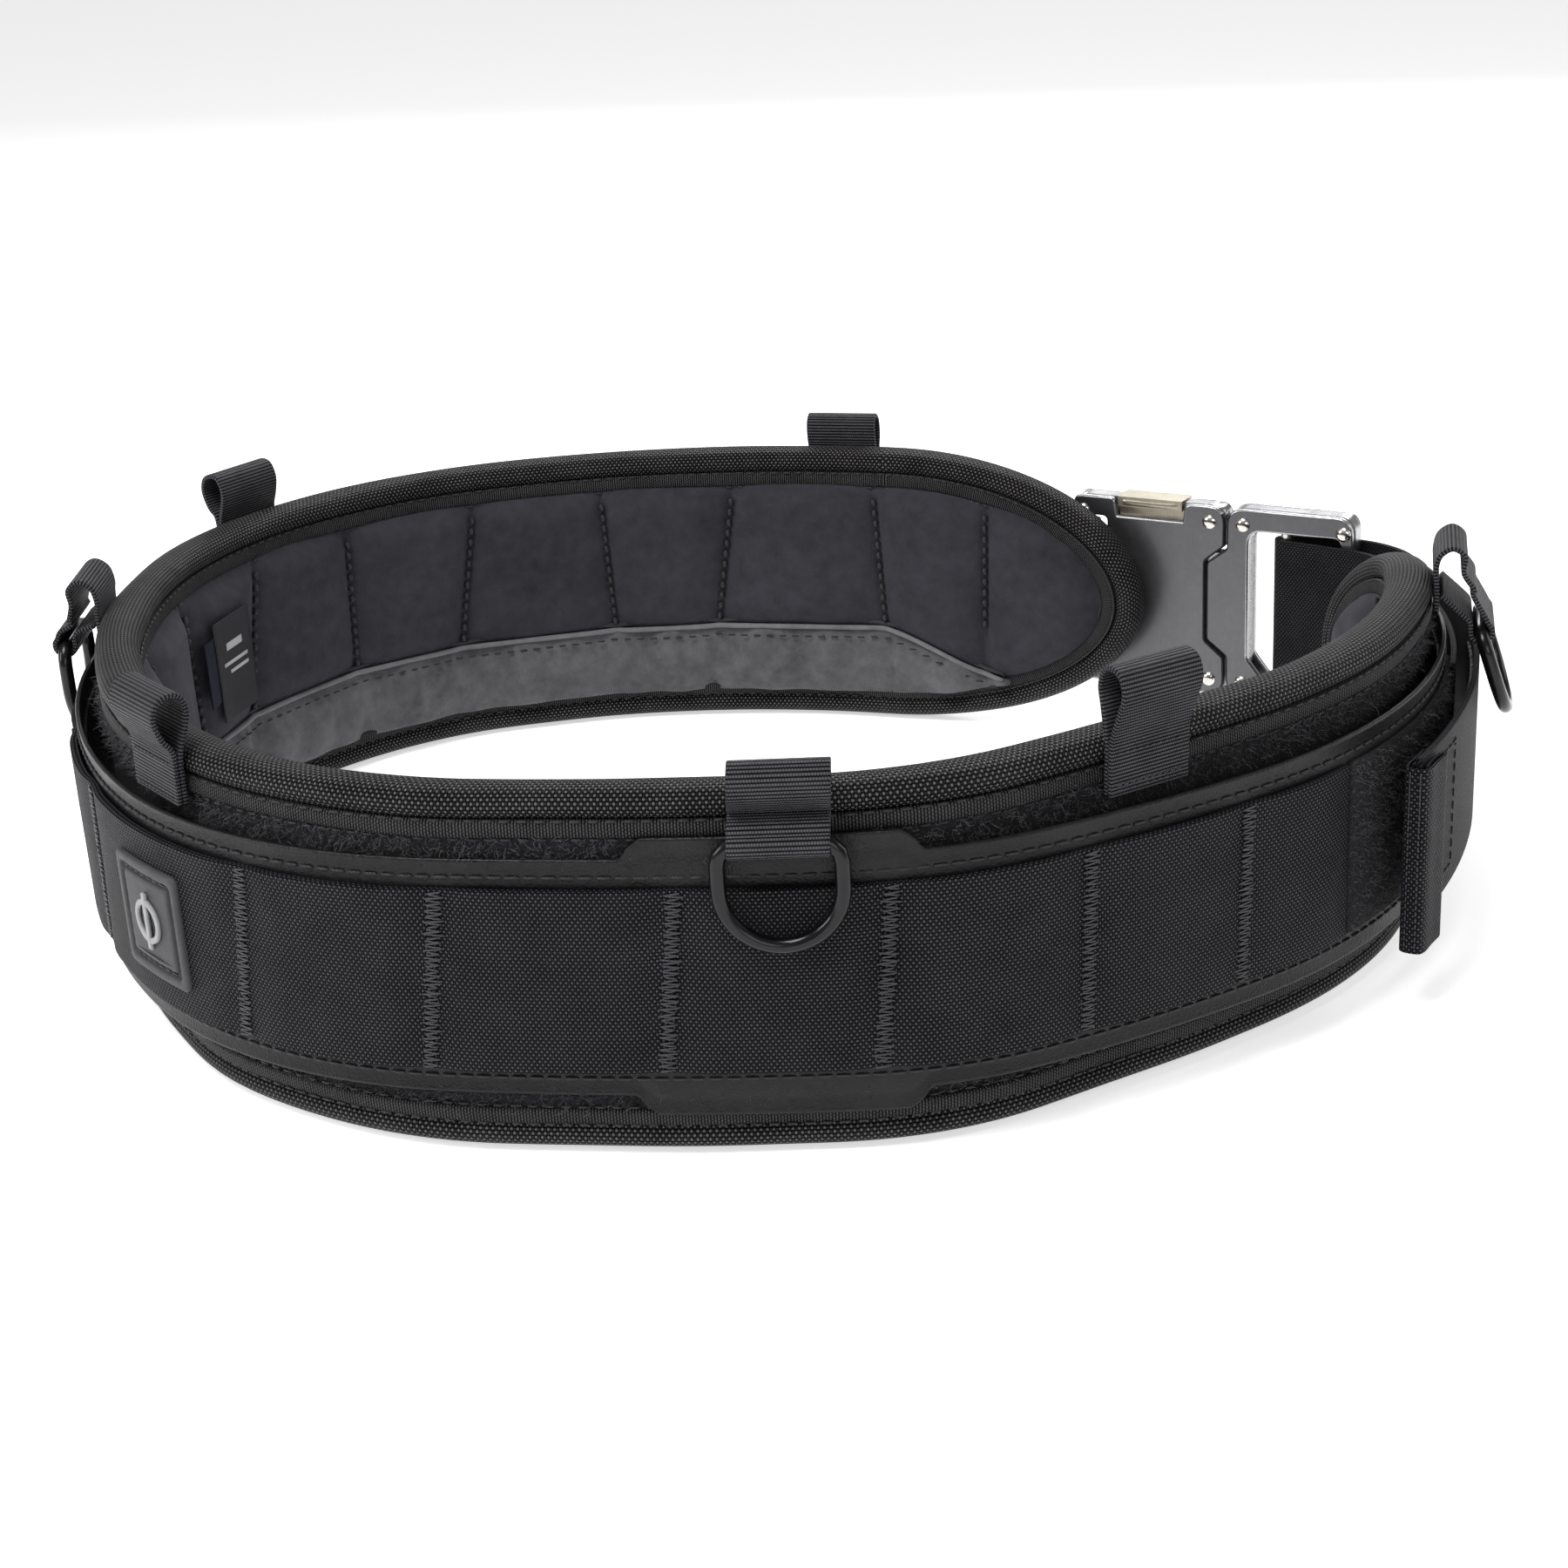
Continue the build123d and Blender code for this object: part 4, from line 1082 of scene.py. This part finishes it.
def sheet_metal(name, outlines, low, high, bevel, face, edge):
    """A plate with holes and bevelled edges between two values of w; flat faces take the face material, edge
    faces at the join of the two halves a near-black painted shadow, and the rest the edge material.
    """
    curve = bpy.data.curves.new(name, "CURVE")
    curve.dimensions = "2D"
    curve.fill_mode = "BOTH"
    curve.extrude = ((high - low) / 2 - bevel) * MM
    curve.bevel_depth = bevel * MM
    curve.bevel_resolution = 2
    curve.offset = -bevel * MM
    for outline_points in outlines:
        spline = curve.splines.new("POLY")
        spline.points.add(len(outline_points) - 1)
        for point, (u, v) in zip(spline.points, outline_points):
            point.co = (u * MM, v * MM, 0, 1)
        spline.use_cyclic_u = True
    temporary = link(name, curve)
    graph = bpy.context.evaluated_depsgraph_get()
    mesh = bpy.data.meshes.new_from_object(temporary.evaluated_get(graph))
    bpy.data.objects.remove(temporary)
    piece = link(name, mesh)
    turn = math.radians(BUCKLE_HEADING)
    middle = (low + high) / 2 * MM
    u_axis = Vector((math.cos(turn), math.sin(turn), 0))
    w_axis = Vector((-math.sin(turn), math.cos(turn), 0))
    rows = [(u_axis[k], (0, 0, 1)[k], -w_axis[k]) for k in range(3)]
    matrix = [(*rows[k], BUCKLE_CENTRE[k] * MM + w_axis[k] * middle) for k in range(3)]
    mesh.transform(Matrix(matrix + [(0, 0, 0, 1)]))
    mesh.materials.clear()
    for material in (face, edge, plate_gap_painted_shadow):
        mesh.materials.append(material)
    fix_normals(piece, 3e-6)
    for polygon in mesh.polygons:
        flat = abs(polygon.normal.dot(w_axis)) > 0.98
        across = (polygon.center - Vector(BUCKLE_CENTRE) * MM).dot(u_axis) / MM
        height = polygon.center.z / MM - BUCKLE_CENTRE[2]
        # Painted shadow: edge faces where the two halves meet are coloured near-black.
        split = -NOSE - 2.2 < across < 1.4 and abs(height) < BUCKLE_HALF - 3.0
        polygon.material_index = 0 if flat else 2 if split else 1
        polygon.use_smooth = not flat
    return piece


def female_outlines():
    """One side's plate: open at the end where the webbing comes in, recessed under both latches."""
    h = BUCKLE_HALF
    upper = [(-44, 27), (-56.7, 27), (-56.7, h), (-41, h), (-40.2, 27.5), (-15.8, 27.5), (-15, h), (-0.3, h),
             (-0.6, 20.1), (-NOSE - 0.6, 14.4)]
    radii = [2, 1, 5.5, 2.5, 0.2, 0.2, 2.5, 6, 2, 2.4]
    lower = [(u, -v) for u, v in upper[::-1]]
    return [rounded(upper + lower, radii + radii[::-1])]


def male_outlines():
    """One side's plate, with its nose, and the window that the strap turns in."""
    h = BUCKLE_HALF
    left, right = 0.3, 44.7
    edge = [(left, h), (right, h), (right, -h), (left, -h), (left, -19.5), (-NOSE, -14), (-NOSE, 14),
            (left, 19.5)]
    window = [(8, 26.5), (40.6, 26.5), (40.6, -26.5), (13.5, -26.5), (8, -19.5)]
    return [rounded(edge, (6, 6, 6, 6, 2, 2.4, 2.4, 2)), rounded(window, (5, 3, 3, 2.5, 3))]


def plates():
    """The four plates, each with the CAD node it stands for."""
    result = []
    for half, outlines in (("female", female_outlines), ("male", male_outlines)):
        for side, word in ((-1, "inner"), (1, "outer")):
            low, high = sorted((side * PLATE_BACK, side * PLATE_FACE))
            piece = sheet_metal(f"{half}_plate_{word}", outlines(), low, high, 0.7, plate_face, plate_edge)
            result.append((piece, f"buckle_{half}_{word}_plate"))
    return result


def rims():
    """Solid frame seen on edge between the two plates of each half."""
    h = BUCKLE_HALF - 0.15
    outlines = []
    for side in (-1, 1):
        for u0, u1 in ((-56.5, -41.2), (-14.8, -0.6)):
            corners = [(u0, side * 27.3), (u0, side * h), (u1, side * h), (u1, side * 27.3)]
            outlines.append([rounded(corners, (0.5, 4.5, 4.5, 0.5))])
    frame_edge = [(0.6, h), (44.5, h), (44.5, -h), (0.6, -h)]
    window = [(8, 26.7), (40.4, 26.7), (40.4, -26.7), (8, -26.7)]
    outlines.append([rounded(frame_edge, 6), rounded(window, 3)])
    rim_parts = [sheet_metal("rim", o, -CORE_HALF, CORE_HALF, 0.5, plate_edge, plate_edge) for o in outlines]
    return join("buckle_rims", rim_parts)


def dome_rivets(name, places):
    """Domed heads on both faces."""
    pieces = []
    profile = [(0.9, 1.18), (1.7, 0.9), (2.3, 0.5), (2.6, 0.1), (2.6, -0.3), (1.8, -0.3), (1.8, -4.9)]
    angle = np.linspace(0, 2 * math.pi, 25)[:-1]
    for u in places:
        for v in (-RIVET_V, RIVET_V):
            for side in (-1, 1):
                rows = np.stack([buckle_point(u + r * np.cos(angle), side * (PLATE_FACE + h),
                                              v + r * np.sin(angle)) for r, h in profile], 0)
                pieces.append(tube_mesh("dome", rows, np.arange(len(rows)) * MM, angle * MM))
    return join(name, pieces)


def latch_cap(name, side):
    """The part of the latch a finger presses: a rounded, slightly dished bar."""
    u = np.linspace(-39.8, -16.2, 26)
    loop = []
    for a in np.radians(np.arange(0, 360, 15)):
        c, s = math.cos(a), math.sin(a)
        loop.append((math.copysign(abs(c) ** 0.45, c), math.copysign(abs(s) ** 0.45, s)))
    loop = np.array(loop)
    t = (u - u.mean()) / (u[-1] - u[0]) * 2
    slim = (1 - np.abs(t) ** 14 * 0.25)[:, None]
    w = 4.9 * loop[None, :, 0] * slim
    dish = (-0.35 * (1 - t * t))[:, None] * (loop[None, :, 1] > 0.5)
    v = 32.6 + 1.7 * loop[None, :, 1] * slim + dish
    points = buckle_point(u[:, None], w, side * v)
    return tube_mesh(name, points, u * MM, np.arange(len(loop) + 1) * MM)


# ---- strap ------------------------------------------------------------------------------------------
def strap():
    """Inner run, turn round the bar, outer run: one closed ribbon."""
    half = STRAP_HALF_THICK
    middle = 2.7 + half        # radius of the turn round the bar
    inner = inner_run.at(np.arange(inner_run.length, 0, -2.5), 0.0, 0.0)[:, :2]
    u = np.linspace(40, 21.5, 9)
    slant = middle + (STRAP_LEAVE[1] - middle) * np.clip((u - 20.5) / 19.5, 0, 1) ** 1.2
    leg_in = buckle_point(u, -slant, 0)[:, :2]
    angle = np.radians(np.arange(-90, -271, -15.0))
    turn = buckle_point(20.5 + middle * np.cos(angle), middle * np.sin(angle), 0)[:, :2]
    leg_out = buckle_point(u[::-1], slant[::-1], 0)[:, :2]
    outer = outer_run.at(np.arange(0, outer_run.length + 0.1, 2.5), 0.0, 0.0)[:, :2]
    line = np.concatenate([inner, leg_in, turn, leg_out, outer])
    keep = np.concatenate([[True], np.hypot(*np.diff(line, axis=0).T) > 0.25 * MM])
    line = line[keep]
    run = np.concatenate([[0], np.cumsum(np.hypot(*np.diff(line, axis=0).T))])
    want = np.linspace(0, run[-1], int(run[-1] / (1.2 * MM)))
    line = np.stack([np.interp(want, run, line[:, k]) for k in (0, 1)], -1)
    loop = band_profile(26, 74, -half, half, 16)
    xy = line[:, None, :] + left_of(line)[:, None, :] * loop[None, :, 0, None] * MM
    z = np.broadcast_to(loop[None, :, 1] * MM, xy.shape[:2])
    points = np.concatenate([xy, z[..., None]], -1)
    return tube_mesh("waist_strap_webbing", points, want, run_length(loop) * MM)


def tail_stitches():
    """Box of stitching near the end of the tail."""
    tip = outer_run.length
    rows = [(s, z, 0.2, 2.7) for s in (tip - 19.0, tip - 31.0) for z in np.arange(33.0, 68.0, 3.8)]
    rows += [(s, z, 2.7, 0.0) for z in (32.0, 69.0) for s in np.arange(tip - 30.5, tip - 19.5, 3.8)]
    s, z, ds, dz = np.array(rows).T
    return threads("tail_stitches", outer_run.at(s, -1.0, z), outer_run.at(s + ds, -1.0, z + dz),
                   -outer_run.out(s), 0.3 * MM, 0.1 * MM)


def end_tab():
    """Webbing folded twice over the end of the tail, seen on edge as layers."""
    tip = outer_run.length
    fold = [(-0.8, -2.2), (-3.0, -1.6), (-6.0, -1.4), (-9.5, -1.5), (-12.3, -2.1), (-12.8, -3.0),
            (-11.5, -3.4), (-6.0, -3.2), (-1.0, -3.3), (1.4, -2.6), (2.0, -0.4), (2.0, 1.2), (1.2, 2.6),
            (-1.5, 3.2), (-7.0, 3.0), (-12.0, 3.2), (-12.9, 2.6), (-12.2, 1.9), (-7.0, 1.7), (-1.0, 1.7)]
    line, run = smooth_path(fold, 110)
    normal = left_of(line)
    loop = band_profile(18, 72, -0.42, 0.42, 16, 0.25)
    s = tip + line[:, None, 0] + normal[:, None, 0] * loop[None, :, 0]
    off = line[:, None, 1] + normal[:, None, 1] * loop[None, :, 0]
    z = np.broadcast_to(loop[None, :, 1], s.shape)
    return tube_mesh("strap_end_fold", outer_run.at(s, off, z), run * MM, run_length(loop) * MM)


def tab_stitches():
    """Two rows of small stitches down the folded end."""
    tip = outer_run.length
    z = np.arange(20.0, 70.0, 1.9)
    _, _, turn = outer_run.plan(np.full(len(z), tip))
    ahead = np.stack([np.cos(turn), np.sin(turn), 0 * turn], -1)
    groups = []
    for off in (-1.7, 1.2):
        starts = outer_run.at(tip + 2.55, off, z)
        ends = outer_run.at(tip + 2.55, off, z + 1.35)
        groups.append(threads("tab", starts, ends, ahead, 0.24 * MM, 0.08 * MM))
    return join("end_fold_stitches", groups)


# ---- build ------------------------------------------------------------------------------------------
LABEL_BARS = ((366, 378, 66, 68.5), (363, 381, 61, 62.2), (363, 377, 58, 59.2))
place(binding(), binding_cloth, ["pad_edge_binding"])
place(flange(1), flange_cloth)
place(flange(-1), flange_cloth)
place(binding_seam(), dark_thread)
place(lining(), lining_cloth, ["pad_lining"])
# Thick dark quilting stitches: real stitching that also gives painted shade in the creases.
place(quilt_seams(), dark_thread)
place(label("woven_label_cloth", LABEL_STATION, 13.5, 43.0, 77.0, -12.6), label_cloth,
      ["woven_label"])
place(label("size_label_cloth", LABEL_STATION + 19.0, 4.5, 51.0, 73.0, -12.4), label_dark,
      ["size_label"])
place(label_bars("woven_label_bars", LABEL_BARS, -13.08), label_mark)
place(pile_panel(), pile_cloth, ["pad_pile_panel"])
place(sleeve_fuzz(), pile_thread)
place(lower_cushion(), cushion_cloth, ["lower_inner_cushion"])
# Piping coloured lighter than the band below it: painted highlight along its top.
place(round_cord("cushion_piping", 0.95, -6.9, 0.0, 2.3), piping_cloth_painted_highlight)
# A dark cord above the piping, coloured with the dark thread material: painted shadow under the lining's
# lower edge.
place(round_cord("cushion_painted_shadow_line", 1.0, -6.6, 1.7, 0.0), dark_thread)
place(cushion_stitches(), dark_thread)
place(laminate(), laminate_skin, ["belt_laminate"])
place(laminate_stitches(), dark_thread)
place(webbing(), webbing_cloth, ["belt_webbing"])
place(bartacks(), black_thread)
place(loop_patch(), pile_cloth, ["belt_pile_patch"])
place(patch_fuzz(), pile_thread)
place(badge(), badge_rubber, ["rubber_badge"]).data.materials.append(dark_thread)
place(badge_stitches(), black_thread)
place(badge_emblem(), emblem_rubber, ["badge_emblem"])
for loop_name, (loop_station, loop_top) in TOOL_LOOPS.items():
    place(tool_loop(loop_name + "_webbing", loop_station, loop_top), loop_cloth, [loop_name])
    place(sewn_rows(loop_name + "_stitches", loop_station, 10.55, (86.2, 87.6, 96.0)), black_thread)
for ring_name, (ring_station, ring_z, ring_reach, ring_lean) in RING_LOOPS.items():
    place(ring_loop(f"d_ring_loop_{ring_name}_webbing", ring_station, ring_z, ring_reach), loop_cloth,
          ["d_ring_loop_" + ring_name])
    place(d_ring(f"d_ring_{ring_name}_wire", ring_station, ring_z, ring_reach, ring_lean), ring_metal,
          ["d_ring_" + ring_name], body="ring_" + ring_name)
for plate_piece, plate_node in plates():
    place(plate_piece, None, [plate_node])
place(rims(), plate_edge)
place(dome_rivets("female_rivet_heads", FEMALE_RIVETS), rivet_metal, ["buckle_female_rivets"])
place(dome_rivets("male_rivet_heads", MALE_RIVETS), rivet_metal, ["buckle_male_rivets"])
place(latch_cap("latch_top_cap", 1), latch_metal, body="latch_top")
place(latch_cap("latch_bottom_cap", -1), latch_metal, body="latch_bottom")
place(strap(), strap_cloth, ["waist_strap"])
place(tail_stitches(), dark_thread)
place(end_tab(), webbing_cloth, ["strap_end_tab"])
place(tab_stitches(), black_thread)

CARRIED = {
    "pad_foam_core": foam_skin, "belt_hook_backing": hook_tape, "strap_hook_patch": hook_tape,
    "buckle_anchor_loop": cad_webbing, "buckle_webbing_pin": rivet_metal, "buckle_female_spacer": plate_edge,
    "buckle_female_guides": plate_edge, "buckle_latch_top": latch_metal, "buckle_latch_bottom": latch_metal,
    "latch_spring_top": spring_metal, "latch_spring_bottom": spring_metal, "buckle_male_fork": plate_edge,
    "buckle_adjuster_bar": rivet_metal,
}
for node_name, node_material in CARRIED.items():
    node_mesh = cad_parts[node_name].data
    node_mesh.materials.clear()
    node_mesh.materials.append(node_material)


# ---- stage ------------------------------------------------------------------------------------------
def area_light(name, place_at, aim, size, power):
    light = bpy.data.lights.new(name, "AREA")
    light.shape = "RECTANGLE"
    light.size, light.size_y = size
    light.energy = power
    lamp = link(name, light)
    lamp.location = place_at
    lamp.rotation_euler = (Vector(aim) - Vector(place_at)).to_track_quat("-Z", "Y").to_euler()


def floor():
    """Wide pale ground, slightly luminous so that it stays white."""
    n = 24
    x = np.linspace(-14, 14, n)
    points = np.stack(np.meshgrid(x, x, indexing="ij") + [np.full((n, n), -0.0004)], -1)
    faces, _, _ = grid_faces(n, n, False, False)
    piece = mesh_object("floor", points.reshape(-1, 3), faces.tolist())
    m = Maker("floor_paper")
    piece.data.materials.append(m.finish((0.92, 0.92, 0.92), 0.9, m.noise(400, 2), 0.02, 0.1))
    m.shader.inputs["Emission Color"].default_value = (1, 1, 1, 1)
    m.shader.inputs["Emission Strength"].default_value = 0.55


floor()
area_light("key_above", (-0.5, -0.5, 1.5), (0, 0, 0.05), (0.7, 0.7), 20)
area_light("front_wide", (0.5, -1.7, 0.7), (0, 0, 0.05), (1.2, 0.6), 6)
area_light("rim_behind", (0.3, 1.5, 0.9), (0, 0, 0.06), (1.6, 0.4), 16)
area_light("side_left", (-1.5, -0.4, 0.7), (0, 0, 0.06), (0.5, 0.7), 9)
area_light("side_right", (1.5, 0.1, 0.6), (0, 0, 0.06), (0.6, 0.9), 5)
world = bpy.data.worlds.new("studio")
world.use_nodes = True
world.node_tree.nodes["Background"].inputs[0].default_value = (1, 1, 1, 1)
world.node_tree.nodes["Background"].inputs[1].default_value = 0.30
bpy.context.scene.world = world
bpy.context.scene.view_settings.view_transform = "Standard"

camera_data = bpy.data.cameras.new("camera")
camera_data.sensor_width = 36.0
camera_data.lens = 60.0
camera = link("camera", camera_data)
tilt = Matrix.Rotation(math.radians(90 - CAMERA_DOWN), 4, "X")
roll = Matrix.Rotation(CAMERA_ROLL, 4, "Z")
camera.matrix_world = Matrix.Translation(CAMERA_PLACE) @ tilt @ roll
bpy.context.scene.camera = camera
